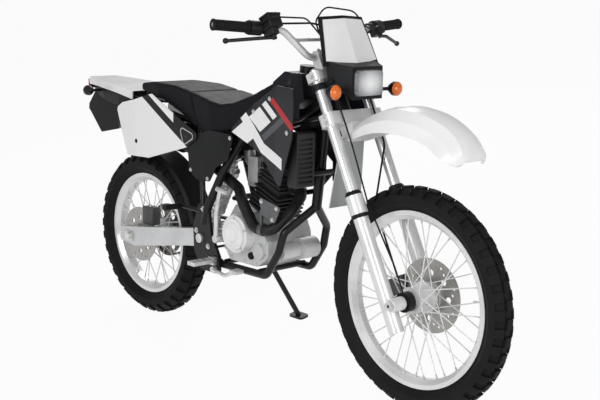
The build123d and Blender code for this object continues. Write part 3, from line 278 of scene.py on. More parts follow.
def on_cylinder(ahead, y, up):
    return CYLINDER_FOOT + CYLINDER_AHEAD * ahead + Vector((0, y, 0)) + CYLINDER_UP * up


def cast_case():
    """Sand-cast grey, paler from the starter forward, with patches of painted shade in the low corners."""
    made, shader, place = material("cast_case")
    x, _, z = on_bike(place).split()
    broad = place.noise(25.0, 4.0)
    fine = place.noise(500.0, 2.0)
    # patches of painted shade, darker towards the bottom of the cases
    low_shade = place.noise(7.0, 4.0).rise(0.45, 0.75) * (1.0 - z.rise(0.35, 0.46))
    cast = broad.tint(colour(0.50, 0.51, 0.51), colour(0.66, 0.66, 0.66))
    cast = (x > STARTER_BACK).tint(cast, broad.tint(colour(0.64, 0.64, 0.64), colour(0.76, 0.76, 0.76)))
    place.join(shader, {"Base Color": (low_shade * 0.6).tint(cast, colour(0.12, 0.115, 0.11)), "Metallic": 0.35,
                        "Roughness": 0.46 + (fine - 0.5) * 0.14 + (broad - 0.5) * 0.12,
                        "Normal": fine.relief(0.35, 0.0006)})
    return made


dress(cast_case(), "crankcase")
barrel_black = finish("barrel_black", colour(0.010, 0.010, 0.011), colour(0.022, 0.022, 0.023), 0.55,
                      grain=450.0, depth=0.0006, shine=0.25)
dress(barrel_black, "cylinder", "cylinder_head")
cover_silver = finish("cover_silver", colour(0.78, 0.78, 0.78), colour(0.88, 0.88, 0.88), 0.32, metal=0.25,
                      grain=1200.0, depth=0.0001, patch=18.0)
dress(cover_silver, "clutch_cover")
cast_silver = finish("cast_silver", colour(0.44, 0.45, 0.45), colour(0.58, 0.58, 0.58), 0.44, metal=0.6,
                     grain=600.0, depth=0.0005, patch=25.0)
dress(cast_silver, "carburettor")
cover_ring = bmesh.new()
lathe(cover_ring, [(26, -0.5), (26, 1.6), (28, 2.4), (40, 2.4), (42, 1.6), (42, -0.5)],
      CLUTCH + Vector((0, -10, 0)), (0, -1, 0), 48, closed=True)
piece(cover_ring, "cover_ring", "chassis", cover_silver)
case_screws = bmesh.new()
for x, z in ((130, 398), (158, 360), (228, 357), (296, 358), (340, 394), (339, 434), (298, 482)):
    bolt(case_screws, (x, RIGHT_CASE, z), (0, -1, 0), 4.6, 5.0)
for index in range(5):
    turn = radians(20 + 72 * index)
    bolt(case_screws, CLUTCH + Vector((cos(turn), 0, sin(turn))) * CLUTCH_SCREW_RING, (0, -1, 0), 3.4, 4.5)
for x, z in ((162, 384), (206, 358), (296, 358), (332, 400), (312, 478), (250, 506), (192, 492)):
    bolt(case_screws, (x, LEFT_CASE, z), (0, 1, 0), 4.6, 5.0)
for ahead in (-31, 31):
    for y in (-41, 41):
        bolt(case_screws, on_cylinder(ahead, y, HEAD_TOP), CYLINDER_UP, 6.0, 8.0)
piece(case_screws, "case_screws", "chassis", plated_steel)
rubber_caps = bmesh.new()
lathe(rubber_caps, [(0, 9), (9, 9), (12, 7.5), (13, 5), (13, 0)], (268, RIGHT_CASE, 381), (0, -1, 0), 24)
lathe(rubber_caps, [(0, 46), (7, 45), (10, 41), (10, 30), (7, 26), (7, 6), (11, 3), (11, 0)],
      on_cylinder(-18, -52, 178), (0, -1, 0.25), 20)
lathe(rubber_caps, [(0, 15), (16, 15), (19, 12), (19, 0)], (190, -7, 709), (0, 0, 1), 24)
piece(rubber_caps, "rubber_caps", "chassis",
      finish("cap_rubber", colour(0.006, 0.006, 0.006), colour(0.012, 0.012, 0.012), 0.6, grain=700.0,
             depth=0.0005, shine=0.2))
inlet_clamps = bmesh.new()
for ahead in (-64, -84):
    lathe(inlet_clamps, [(22.2, 0), (24.0, 0), (24.0, 8), (22.2, 8)], on_cylinder(ahead, 0, 128),
          -CYLINDER_AHEAD, 28, closed=True)
piece(inlet_clamps, "inlet_clamps", "chassis", plated_steel)

# Exhaust: mild-steel header and silencer in heat-proof black, with a steel guard plate
# bolted on beside the barrel and two straps round the silencer.

header_black = finish("header_black", colour(0.006, 0.006, 0.007), colour(0.018, 0.017, 0.016), 0.46,
                      grain=600.0, depth=0.0003, patch=30.0, shine=0.25)
dress(header_black, "exhaust")
guard_grey = finish("guard_grey", colour(0.10, 0.105, 0.11), colour(0.18, 0.185, 0.19), 0.42, metal=0.7,
                    grain=900.0, depth=0.0003)
dress(guard_grey, "heat_shield")
GUARD_FACE = -142.0
CAN_FRONT = Vector((-140.0, -95.0, 721.0))
CAN_WAY = Vector((-400.0, 7.0, 47.0))
exhaust_fixings = bmesh.new()
for x, z in ((352, 586), (428, 572), (408, 532)):
    bolt(exhaust_fixings, (x, GUARD_FACE, z), (0, -1, 0), 5.0, 5.0)
for share in (0.2, 0.86):
    lathe(exhaust_fixings, [(30.6, 0), (33, 0), (33, 16), (30.6, 16)], CAN_FRONT + CAN_WAY * share,
          CAN_WAY, 40, closed=True)
piece(exhaust_fixings, "exhaust_fixings", "chassis", plated_steel)

# Airbox: a closed box of moulded black plastic with a fine leather grain,
# its side covers held by plated screws.

moulded_black = finish("moulded_black", colour(0.004, 0.0045, 0.0055), colour(0.009, 0.0095, 0.011), 0.46,
                       grain=1500.0, depth=0.0004, shine=0.2)
dress(moulded_black, "airbox")
COVER_FACE = 132.0
cover_screws = bmesh.new()
for side in (-1, 1):
    for x, z in ((-52.0, 642.0), (46.0, 622.0), (172.0, 778.0)):
        bolt(cover_screws, (x, side * COVER_FACE, z), (0, side, 0), 5.0, 4.0)
piece(cover_screws, "cover_screws", "chassis", plated_steel)

# Cooling: two black radiators with folded fins, a pressure cap on the left one,
# and rubber hoses held by plated clips.

FOLDS = 2600.0


def folded_core():
    """Black paint on upright folded fins."""
    made, shader, place = material("core_black")
    folds = (on_bike(place).split()[1] * FOLDS).wave()
    broad = place.noise(14.0, 4.0)
    place.join(shader, {"Base Color": broad.tint(colour(0.006, 0.006, 0.007), colour(0.014, 0.014, 0.015)),
                        "Roughness": 0.48 + folds * 0.06 + (broad - 0.5) * 0.1,
                        "Normal": folds.relief(0.3, 0.0006)})
    return made


dress(folded_core(), "radiators")
hose_rubber = finish("hose_rubber", colour(0.006, 0.006, 0.006), colour(0.012, 0.012, 0.012), 0.55,
                     grain=600.0, depth=0.0006, shine=0.2)
dress(hose_rubber, "hoses")
CLIP_WIDTH = 8.0
hose_clips = bmesh.new()
for at, way in (((470, 100, 672), (1, 0, 0)), ((470, -100, 700), (1, 0, 0)), ((338, -60, 672), (0, 1, 0))):
    start = Vector(at) - Vector(way) * (CLIP_WIDTH / 2)
    lathe(hose_clips, [(9.2, 0), (10.4, 0), (10.4, CLIP_WIDTH), (9.2, CLIP_WIDTH)], start, way, 24,
          closed=True)
lathe(hose_clips, [(0, 15), (13, 15), (17, 12), (17, 5), (12, 4), (12, 0)], (500, 100, 830), (0, 0, 1), 28)
piece(hose_clips, "hose_clips", "chassis", plated_steel)

# Inner covers: a black splash plate on the down tube, a control unit on the left spar under the tank
# and a curved guard on the swingarm ahead of the rear tyre, all moulded black plastic on short lugs.
# Besides being parts of the bike, they also stand in for the shade in its middle, as painted shade.


def slab(bm, low, high, ease):
    """Box between two corners with its edges rounded over."""
    size = Vector(high) - Vector(low)
    middle = (Vector(high) + Vector(low)) / 2
    stretch = Matrix.Translation(middle) @ Matrix.Diagonal((*size, 1.0))
    made = bmesh.ops.create_cube(bm, size=1.0, matrix=stretch)
    edges = {edge for vert in made["verts"] for edge in vert.link_edges}
    bmesh.ops.bevel(bm, geom=list(edges), offset=ease, offset_type="OFFSET", segments=3, profile=0.5,
                    affect="EDGES", clamp_overlap=True, material=-1)


SPLASH_LOW, SPLASH_HIGH = (447, -60, 640), (451, 60, 852)
UNIT_LOW, UNIT_HIGH = (170, -24, 727), (296, 58, 796)
LUGS = (((449, -9, 648), (470, 9, 662)), ((449, -9, 818), (492, 9, 832)),
        ((176, 50, 780), (196, 66, 794)), ((224, 44, 790), (242, 58, 812)),
        ((-150, 21, 404), (-118, 39, 424)), ((-150, -39, 404), (-118, -21, 424)))
# black sheets that are parts of the bike and also fill its dark middle as painted shade
shade_filling_covers = bmesh.new()
slab(shade_filling_covers, SPLASH_LOW, SPLASH_HIGH, 1.5)
for y in (-40, -20, 20, 40):
    slab(shade_filling_covers, (450, y - 4, 655), (454, y + 4, 838), 1.5)
slab(shade_filling_covers, UNIT_LOW, UNIT_HIGH, 6.0)
for x in (206, 226, 246, 266):
    slab(shade_filling_covers, (x, -27, 737), (x + 8, 61, 778), 1.5)
for low, high in LUGS:
    slab(shade_filling_covers, low, high, 2.0)
GUARD_REACH, GUARD_HALF, GUARD_LIP, GUARD_SKIN = 347.0, 55.0, 14.0, 4.0
GUARD_START, GUARD_SWEEP = radians(16), radians(76)
half_section = [(GUARD_REACH, GUARD_HALF - 8), (GUARD_REACH - GUARD_LIP, GUARD_HALF),
                (GUARD_REACH - GUARD_LIP, GUARD_HALF - GUARD_SKIN),
                (GUARD_REACH - GUARD_SKIN, GUARD_HALF - 10)]
section = half_section + [(reach, -y) for reach, y in reversed(half_section)]
guard_ring = [REAR_AXLE + Vector((reach * cos(GUARD_START), y, reach * sin(GUARD_START)))
              for reach, y in section]
guard_verts = [shade_filling_covers.verts.new(at) for at in guard_ring]
guard_face = shade_filling_covers.faces.new(guard_verts)
bmesh.ops.spin(shade_filling_covers, geom=[guard_face, *guard_face.edges, *guard_verts], cent=REAR_AXLE,
               axis=(0, 1, 0), angle=-GUARD_SWEEP, steps=20, use_duplicate=False)
piece(shade_filling_covers, "shade_filling_covers", "chassis", moulded_black)

# Tank and shrouds: blue-black lacquered plastic; the shrouds carry white and red stripes
# and are held by plated screws.

tank_black = finish("tank_black", colour(0.0045, 0.005, 0.008), colour(0.009, 0.0095, 0.014), 0.32, coat=0.12,
                    grain=1100.0, depth=0.00012, shine=0.2)
dress(tank_black, "fuel_tank", "tank_cap")
SHROUD_TOP, STRIPE_SLOPE, BAR_SLANT = 0.594, radians(32.0), 0.45
WHITE_BARS, WHITE_DROP = ((0.540, 0.668), (0.684, 0.758), (0.774, 0.800)), (0.010, 0.082)
RED_BAR, RED_DROP = (0.815, 0.838), (0.02, 0.16)
GREY_BAR, GREY_DROP, GREY_IN = (0.560, 0.82), (0.096, 0.118), 0.050
LOWER_EDGES = ((0.168, 0.806, 0.334, 0.9426), (0.343, 0.744, 0.6626, 0.749))
WHITE_EDGE, WHITE_EDGE_FRONT = (0.006, 0.042), 0.47
SHROUD_FLARE = ((0.150, 0.126, 0.0333), (0.300, 0.131, 0.1308), (0.430, 0.148, 0.1739))


def striped_shroud():
    """Blue-black plastic with slanted white bars, one red slash and a white lower edge."""
    made, shader, place = material("striped_shroud")
    x, y, z = on_bike(place).split()
    run = x * cos(STRIPE_SLOPE) + z * sin(STRIPE_SLOPE)
    drop = SHROUD_TOP - (z * cos(STRIPE_SLOPE) - x * sin(STRIPE_SLOPE))
    slant = run - drop * BAR_SLANT
    bars = 0.0
    for start, end in WHITE_BARS:
        bars = slant.between(start, end) + bars
    back, front = [(x - at_x) * in_x + (z - at_z) * in_z for at_x, at_z, in_x, in_z in LOWER_EDGES]
    edge = back.least(front)
    white = (bars * drop.between(*WHITE_DROP)).most(edge.between(*WHITE_EDGE) * (x < WHITE_EDGE_FRONT))
    red = slant.between(*RED_BAR) * drop.between(*RED_DROP)
    grey = slant.between(*GREY_BAR) * drop.between(*GREY_DROP) * (edge > GREY_IN)
    broad = place.noise(9.0, 4.0)
    fine = place.noise(1100.0, 2.0)
    base = broad.tint(colour(0.005, 0.0055, 0.009), colour(0.010, 0.0105, 0.016))
    flare = 0.0
    for start, reach, slope in SHROUD_FLARE:
        flare = (reach + (x - start) * slope).most(flare)
    outside = (y.size() - flare) > 0.002
    painted = (grey * outside).tint(base, colour(0.070, 0.074, 0.084))
    painted = (white * outside).tint(painted, broad.tint(colour(0.80, 0.80, 0.81), colour(0.87, 0.87, 0.87)))
    painted = (red * outside).tint(painted, colour(0.45, 0.020, 0.024))
    place.join(shader, {"Base Color": painted, "Roughness": 0.30 + (broad - 0.5) * 0.1 + (fine - 0.5) * 0.08,
                        "Coat Weight": 0.12, "Coat Roughness": 0.1, "Normal": fine.relief(0.3, 0.00012)})
    shader.inputs["Specular IOR Level"].default_value = 0.2
    return made


dress(striped_shroud(), "shrouds")
shroud_screws = bmesh.new()
for side in (-1, 1):
    for x, y, z in ((300.0, 135.0, 880.0), (396.0, 147.6, 930.0), (500.0, 164.6, 830.0)):
        bolt(shroud_screws, (x, side * y, z), (-0.13, side, 0), 5.5, 4.0)
piece(shroud_screws, "shroud_screws", "chassis", plated_steel)

# Seat: foam on a plastic base under black vinyl, with a step for the passenger
# and a sewn seam across it.

SEAM_BACK, SEAM_LEAN, SEAM_HEIGHT = 70.0, 0.35, 900.0
SEAM_HALF, SEAM_DEPTH = 14.0, 6.0
COVER_STEP, FOAM_PASSES = 0.005, 18


def grained_vinyl():
    """Black vinyl with pores, soft creases and a line of stitches."""
    made, shader, place = material("vinyl")
    x, _, z = on_bike(place).split()
    pores = place.node("TexVoronoi", {"feature": "DISTANCE_TO_EDGE"}, {"Vector": place, "Scale": 420.0})
    off_seam = x + SEAM_BACK * 0.001 + SEAM_LEAN * (z - SEAM_HEIGHT * 0.001)
    seam = 1.0 - off_seam.size().rise(0.0006, 0.0032)
    creases = place.noise(30.0, 4.0)
    grain = pores.rise(0.0, 0.35).relief(0.25, 0.0004)
    creased = creases.relief(0.25, 0.004, grain)
    shader.inputs["Specular IOR Level"].default_value = 0.12
    place.join(shader, {"Base Color": creases.tint(colour(0.005, 0.005, 0.007), colour(0.010, 0.010, 0.013)),
                        "Roughness": 0.54 + (creases - 0.5) * 0.2,
                        "Normal": seam.relief(0.9, -0.003, creased)})
    return made


def sewn_saddle():
    """The seat solid, remeshed, its edges rounded by smoothing and pulled in along the seam."""
    bm = bmesh.new()
    bm.from_mesh(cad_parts["seat"].data)
    bmesh.ops.remove_doubles(bm, verts=bm.verts, dist=0.0001)
    mesh = bpy.data.meshes.new("saddle")
    bm.to_mesh(mesh)
    bm.free()
    mesh.materials.append(grained_vinyl())
    obj = bpy.data.objects.new("saddle", mesh)
    bpy.context.scene.collection.objects.link(obj)
    remesh = obj.modifiers.new("even_cover", "REMESH")
    remesh.mode = "VOXEL"
    remesh.voxel_size = COVER_STEP
    soften = obj.modifiers.new("foam", "SMOOTH")
    soften.factor = 0.5
    soften.iterations = FOAM_PASSES
    bpy.context.view_layer.update()
    made = obj.evaluated_get(bpy.context.evaluated_depsgraph_get())
    done = bpy.data.meshes.new_from_object(made)
    obj.modifiers.clear()
    obj.data = done
    to_bike = PARKED.inverted()
    pulled = []
    for vert in done.vertices:
        at = to_bike @ vert.co
        off_seam = abs(at.x + SEAM_BACK + SEAM_LEAN * (at.z - SEAM_HEIGHT))
        pull = SEAM_DEPTH * max(1.0 - off_seam / SEAM_HALF, 0.0) ** 2
        pulled.append(vert.co - vert.normal * pull * 0.001)
    for vert, co in zip(done.vertices, pulled):
        vert.co = co
    done.shade_smooth()
    return obj


saddle = sewn_saddle()
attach(saddle, "chassis")
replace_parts(saddle, "seat")

# Rear bodywork: injection-moulded white tail and side panels, the panels with a black band
# and a thin silver loop, over a black inner mudguard with a red lamp and amber indicators.

DULL_WHITE, CLEAN_WHITE = colour(0.84, 0.84, 0.84), colour(0.89, 0.89, 0.885)
moulded_white = finish("moulded_white", DULL_WHITE, CLEAN_WHITE, 0.34, coat=0.15, grain=1300.0, depth=0.00015)
dress(moulded_white, "rear_fender")
dress(moulded_black, "rear_mudguard")
CORNER_BACK = -0.150
BAND_AT, BAND_IN, BAND_WIDTH = (-0.351, 0.882), (0.492, 0.870), 0.030
LOOP_CORNERS = ((-0.094, 0.776), (-0.046, 0.763), (-0.082, 0.744))
LOOP_RADIUS, LOOP_HALF = 0.012, 0.0016


def banded_panel():
    """White side panel with a black diagonal band, a black front corner and a silver loop in it."""
    made, shader, place = material("banded_panel")
    x, _, z = on_bike(place).split()
    line = (x - BAND_AT[0]) * BAND_IN[0] + (z - BAND_AT[1]) * BAND_IN[1]
    band = line.between(0.0, BAND_WIDTH)
    front = (line > 0.0) * (x > CORNER_BACK)
    loop = 1.0
    for (x1, z1), (x2, z2) in zip(LOOP_CORNERS, LOOP_CORNERS[1:] + LOOP_CORNERS[:1]):
        span = (x2 - x1) ** 2 + (z2 - z1) ** 2
        share = ((x - x1) * ((x2 - x1) / span) + (z - z1) * ((z2 - z1) / span)).most(0.0).least(1.0)
        off_x, off_z = x - x1 - share * (x2 - x1), z - z1 - share * (z2 - z1)
        loop = (off_x * off_x + off_z * off_z).root().least(loop)
    trim = (loop - LOOP_RADIUS).size() < LOOP_HALF
    broad = place.noise(9.0, 4.0)
    fine = place.noise(1300.0, 2.0)
    white = broad.tint(DULL_WHITE, CLEAN_WHITE)
    painted = band.most(front).tint(white, colour(0.004, 0.004, 0.005))
    painted = trim.tint(painted, colour(0.55, 0.56, 0.58))
    shader.inputs["Specular IOR Level"].default_value = 0.25
    place.join(shader, {"Base Color": painted, "Roughness": 0.32 + (broad - 0.5) * 0.12 + (fine - 0.5) * 0.1,
                        "Coat Weight": 0.05, "Normal": fine.relief(0.3, 0.00015)})
    return made


dress(banded_panel(), "side_panels")
panel_screws = bmesh.new()
for side in (-1, 1):
    bolt(panel_screws, (-395.0, side * 134.1, 711.0), (-0.06, side, 0), 6.0, 4.0)
piece(panel_screws, "panel_screws", "chassis", powder_black)


def ribbed_lens(name, deep, pale, ribs, front_x, back_x):
    """Coloured ribbed lens ahead of front_x and behind back_x, in metres; black body between."""
    made, shader, place = material(name)
    x, y, z = on_bike(place).split()
    broad = place.noise(60.0, 2.0)
    fine = place.noise(1500.0, 2.0)
    glass = (x > front_x).most(x < back_x)
    rib = ((y * ribs).wave() + (z * ribs).wave()) * glass * 0.5 + fine * 0.1
    body = broad.tint(colour(0.005, 0.005, 0.006), colour(0.010, 0.010, 0.011))
    shader.inputs["Specular IOR Level"].default_value = 0.3
    place.join(shader, {"Base Color": glass.tint(body, broad.tint(deep, pale)),
                        "Roughness": 0.42 - glass * 0.26 + (broad - 0.5) * 0.1,
                        "Coat Weight": glass * 0.6, "Normal": rib.relief(0.35, 0.0012)})
    return made


NO_FRONT_LENS, RED_LENS_BACK = 9.0, -0.855
AMBER_LENS_FRONT, AMBER_LENS_BACK = 0.6895, -0.7455
red_lens = ribbed_lens("red_lens", colour(0.30, 0.008, 0.008), colour(0.48, 0.018, 0.015), 900.0,
                       NO_FRONT_LENS, RED_LENS_BACK)
dress(red_lens, "tail_lamp")
amber_lens = ribbed_lens("amber_lens", colour(0.70, 0.12, 0.006), colour(0.84, 0.19, 0.014), 800.0,
                         AMBER_LENS_FRONT, AMBER_LENS_BACK)
dress(amber_lens, "rear_indicators")

# Pegs, pedals and levers: zinc-plated steel forgings bolted to the frame and the engine,
# the passenger's pegs in black rubber.

dress(plated_steel, "footpegs", "brake_pedal", "gear_lever", "kick_lever")
dress(hose_rubber, "pillion_pegs")

# Chain and sprockets: bare steel with a film of oil; side plates and pins are laid along
# the chain's own line, and the rear sprocket is bolted to its carrier.

CHAIN_PITCH = 12.7
CHAIN_Y = 70.0
PIN_OUT, LINK_OUT, LINK_SKIN = 8.2, 7.5, 1.2
BIG_TEETH, SMALL_TEETH = 50, 14
BIG, SMALL = CHAIN_PITCH / (2 * sin(pi / BIG_TEETH)), CHAIN_PITCH / (2 * sin(pi / SMALL_TEETH))
LINK_EDGE = [(-10.2, 2.4), (-7.8, 4.9), (-3.4, 4.6), (3.4, 4.6), (7.8, 4.9), (10.2, 2.4)]
SPROCKET = Vector((75.0, 0.0, 405.0))
oiled_steel = finish("oiled_steel", colour(0.10, 0.095, 0.085), colour(0.24, 0.23, 0.215), 0.38, metal=0.9,
                     grain=600.0, depth=0.0004, patch=60.0)
dress(oiled_steel, "drive_chain", "front_sprocket", "rear_sprocket")


def chain_stations():
    """Points one pitch apart, round both sprockets."""
    rear = REAR_AXLE.copy()
    rear.y = 0
    gap = SPROCKET - rear
    along = gap.normalized()
    across = Vector((-along.z, 0, along.x))
    tilt = (BIG - SMALL) / gap.length
    flat = sqrt(1 - tilt ** 2)
    straight = gap.length * flat
    slope = asin(tilt)
    top_way = along * flat - across * tilt
    low_way = -along * flat - across * tilt
    wrap_small, wrap_big = SMALL * (pi - 2 * slope), BIG * (pi + 2 * slope)
    total = 2 * straight + wrap_small + wrap_big
    count = 2 * round(total / CHAIN_PITCH / 2)
    up, down = along * tilt + across * flat, along * tilt - across * flat
    for index in range(count):
        run = total * index / count
        if run < straight:
            yield rear + up * BIG + top_way * run
            continue
        run -= straight
        if run < wrap_small:
            turn = Matrix.Rotation(run / SMALL, 3, "Y")
            yield SPROCKET + turn @ (up * SMALL)
            continue
        run -= wrap_small
        if run < straight:
            yield SPROCKET + down * SMALL + low_way * run
            continue
        turn = Matrix.Rotation((run - straight) / BIG, 3, "Y")
        yield rear + turn @ (down * BIG)


chain_links = bmesh.new()
stations = list(chain_stations())
for index, at in enumerate(stations):
    for side in (-1, 1):
        pin = Vector((at.x, CHAIN_Y + side * PIN_OUT, at.z))
        bmesh.ops.create_cone(chain_links, cap_ends=True, segments=8, radius1=2.2, radius2=2.2, depth=2.4,
                              matrix=stood(pin, (0, 1, 0)))
        if index % 2:
            continue
        following = stations[(index + 1) % len(stations)]
        middle = (at + following) / 2
        ahead = (following - at).normalized()
        above = Vector((-ahead.z, 0, ahead.x))
        ring = LINK_EDGE + [(a, -h) for a, h in reversed(LINK_EDGE)]
        centre = Vector((middle.x, CHAIN_Y + side * LINK_OUT, middle.z))
        near = [chain_links.verts.new(centre + ahead * a + above * h) for a, h in ring]
        made = bmesh.ops.extrude_face_region(chain_links, geom=[chain_links.faces.new(near)])
        moved = [item for item in made["geom"] if isinstance(item, bmesh.types.BMVert)]
        bmesh.ops.translate(chain_links, verts=moved, vec=(0, side * LINK_SKIN, 0))
piece(chain_links, "chain_links", "chassis", oiled_steel)
CARRIER_RING = 39.0
sprocket_bolts = bmesh.new()
for index in range(6):
    turn = radians(30 + 60 * index)
    spot = Vector((CARRIER_RING * cos(turn), CHAIN_Y + 3, CARRIER_RING * sin(turn)))
    bolt(sprocket_bolts, REAR_AXLE + spot, (0, 1, 0), 5.5, 5.5)
piece(sprocket_bolts, "sprocket_bolts", "rear_wheel", plated_steel)

# Wheels: black knobbly tyres on pale alloy rims, laced with steel spokes and nipples to cast hubs,
# with drilled steel discs bolted on and a valve in each rim.

FRONT_AXLE = Vector((924.955, 0.0, 350.0))


def tyre_rubber(name, axle):
    """Black rubber with moulded rings round the sidewall."""
    made, shader, place = material(name)
    x, _, z = on_bike(place).split()
    from_x, from_z = x - axle.x * 0.001, z - axle.z * 0.001
    reach = (from_x * from_x + from_z * from_z).root()
    rings = (reach * 1500.0).wave() * (1.0 - reach.rise(0.272, 0.290))
    broad = place.noise(18.0, 4.0)
    fine = place.noise(500.0, 3.0)
    tone = broad.tint(colour(0.0055, 0.0055, 0.0055), colour(0.012, 0.012, 0.0115))
    place.join(shader, {"Base Color": tone, "Roughness": 0.64 + (fine - 0.5) * 0.3,
                        "Normal": rings.relief(0.3, 0.0010, fine.relief(0.4, 0.0006))})
    shader.inputs["Specular IOR Level"].default_value = 0.15
    return made


dress(tyre_rubber("front_rubber", FRONT_AXLE), "front_tyre")
dress(tyre_rubber("rear_rubber", REAR_AXLE), "rear_tyre")
rim_alloy = finish("rim_alloy", colour(0.70, 0.70, 0.70), colour(0.82, 0.82, 0.82), 0.30, metal=0.4,
                   grain=1800.0, depth=0.00008)
dress(rim_alloy, "front_rim", "rear_rim", "front_hub", "rear_hub")


def brushed_disc(name, node):
    """Steel ring ground in circles, with heat tint."""
    made, shader, place = material(name)
    low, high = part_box(node)
    middle = (low + high) / 2
    local = place.node("VectorMath", {"operation": "SUBTRACT"}, {0: place, 1: middle})
    reach = place.node("VectorMath", {"operation": "LENGTH"}, {0: local}, out="Value")
    rings = (reach * 9000.0).wave()
    broad = place.noise(30.0, 3.0)
    place.join(shader, {"Base Color": broad.tint(colour(0.33, 0.32, 0.30), colour(0.50, 0.49, 0.47)),
                        "Metallic": 0.85, "Roughness": 0.34 + rings * 0.05 + (broad - 0.5) * 0.1,
                        "Normal": rings.relief(0.12, 0.0002)})
    return made


dress(brushed_disc("front_disc_steel", "front_disc"), "front_disc")
dress(brushed_disc("rear_disc_steel", "rear_disc"), "rear_disc")
SPOKES_A_SIDE = 18
SPOKE_CROSS, SPOKE_INSET, SPOKE_STAGGER, RIM_STAGGER = radians(52), 7.0, 3.2, 5.0
NIPPLE_LENGTH, NIPPLE_OUT = 13.0, 6.0
DISC_BOLTS = 6
VALVE_TURN = radians(10)


def lacing(name, body, axle, floor, flanges, disc_y, disc_side, disc_ring):
    """Nipples where the spokes meet the rim, the disc's bolts and the valve."""
    bm = bmesh.new()
    for side, (flange_y, flange_radius) in enumerate(flanges):
        for index in range(SPOKES_A_SIDE):
            lead = 1 if index % 2 else -1
            at_rim = 2 * pi * (index + side / 2) / SPOKES_A_SIDE
            at_hub = at_rim + lead * SPOKE_CROSS
            root = flange_radius - SPOKE_INSET
            rim_y = RIM_STAGGER if flange_y > 0 else -RIM_STAGGER
            start = Vector((root * cos(at_hub), flange_y + SPOKE_STAGGER * lead, root * sin(at_hub)))
            end = Vector((floor * cos(at_rim), rim_y, floor * sin(at_rim)))
            way = (start - end).normalized()
            bmesh.ops.create_cone(bm, cap_ends=True, segments=8, radius1=3.6, radius2=2.5,
                                  depth=NIPPLE_LENGTH, matrix=stood(axle + end + way * NIPPLE_OUT, way))
    for index in range(DISC_BOLTS):
        turn = 2 * pi * index / DISC_BOLTS
        spot = axle + Vector((disc_ring * cos(turn), disc_y, disc_ring * sin(turn)))
        bolt(bm, spot, (0, disc_side, 0), 5.0, 4.0)
    valve = Vector((cos(VALVE_TURN), 0, sin(VALVE_TURN)))
    lathe(bm, [(0, 30), (3, 30), (3.4, 28), (3.4, 18), (2.6, 17), (2.6, 3), (5, 2.5), (5, 0)],
          axle + valve * floor, -valve, 12)
    piece(bm, name, body, plated_steel)


lacing("front_lacing", "front_wheel", FRONT_AXLE, floor=248.0, flanges=((-28.0, 42.0), (32.0, 50.0)),
       disc_y=62.0, disc_side=1, disc_ring=39.0)
lacing("rear_lacing", "rear_wheel", REAR_AXLE, floor=212.0, flanges=((-36.0, 52.0), (36.0, 52.0)),
       disc_y=-64.0, disc_side=-1, disc_ring=37.0)

# Brake calipers: dark cast bodies over the discs, with their edges rounded over; the rear one
# shows its plated piston caps and the bolt on its top.

SHARP_FROM = radians(40)


def eased(node, body, made, width):
    """A cast piece: the solid of a node with its sharp edges rounded over."""
    bm = bmesh.new()
    bm.from_mesh(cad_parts[node].data)
    bmesh.ops.remove_doubles(bm, verts=bm.verts, dist=0.00002)
    bmesh.ops.dissolve_limit(bm, angle_limit=radians(1.0), verts=bm.verts, edges=bm.edges)
    sharp = [edge for edge in bm.edges if len(edge.link_faces) == 2 and edge.calc_face_angle() > SHARP_FROM
             and edge.calc_length() > 3 * width]
    bmesh.ops.bevel(bm, geom=sharp, offset=width, offset_type="OFFSET", segments=3, profile=0.5,
                    affect="EDGES", clamp_overlap=False, material=-1)
    bmesh.ops.transform(bm, matrix=PARKED.inverted(), verts=bm.verts)
    obj = piece(bm, node + "_eased", body, made)
    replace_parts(obj, node)


caliper_grey = finish("caliper_grey", colour(0.050, 0.050, 0.053), colour(0.10, 0.10, 0.105), 0.42, metal=0.4,
                      grain=700.0, depth=0.0004)
eased("front_caliper", "steering", caliper_grey, width=0.004)
eased("rear_caliper", "chassis", caliper_grey, width=0.004)
CALIPER_FACE = -44.0
piston_caps = bmesh.new()
for x, z in ((-386.0, 428.0), (-420.0, 428.0)):
    lathe(piston_caps, [(0, 6), (9, 6), (12, 3), (12, 0)], (x, CALIPER_FACE, z), (0, 1, 0), 24)
bolt(piston_caps, (-402.0, -66.0, 447.0), (0, 0, 1), 5.0, 7.0)
piece(piston_caps, "piston_caps", "chassis", plated_steel)

# Fork: chromed tubes in cast alloy sliders with rubber dust seals and bands, held by two alloy
# bridges with pinch bolts, and the spindle and the black speedometer drive at the wheel.

RAKE = radians(26.5)
FORK_FOOT = Vector((896.317, 0.0, 335.722))
AHEAD = Vector((cos(RAKE), 0.0, sin(RAKE)))
UP = Vector((-sin(RAKE), 0.0, cos(RAKE)))
LEG_OUT, BRIDGE_END = 97.0, 121.0
SLIDER_TOP, BAND_LOW, BRIDGE_TOP = 356.0, 284.0, 768.0
BAR_CLAMP_OUT, BAR_CLAMP_TOP = 45.0, 843.0
PINCH_BOLTS, CALIPER_BOLTS = (596, 616, 750), (26, 76)


def on_fork(ahead, y, up):
    return FORK_FOOT + AHEAD * ahead + Vector((0, y, 0)) + UP * up


def along_fork(ahead, y, up):
    return AHEAD * ahead + Vector((0, y, 0)) + UP * up


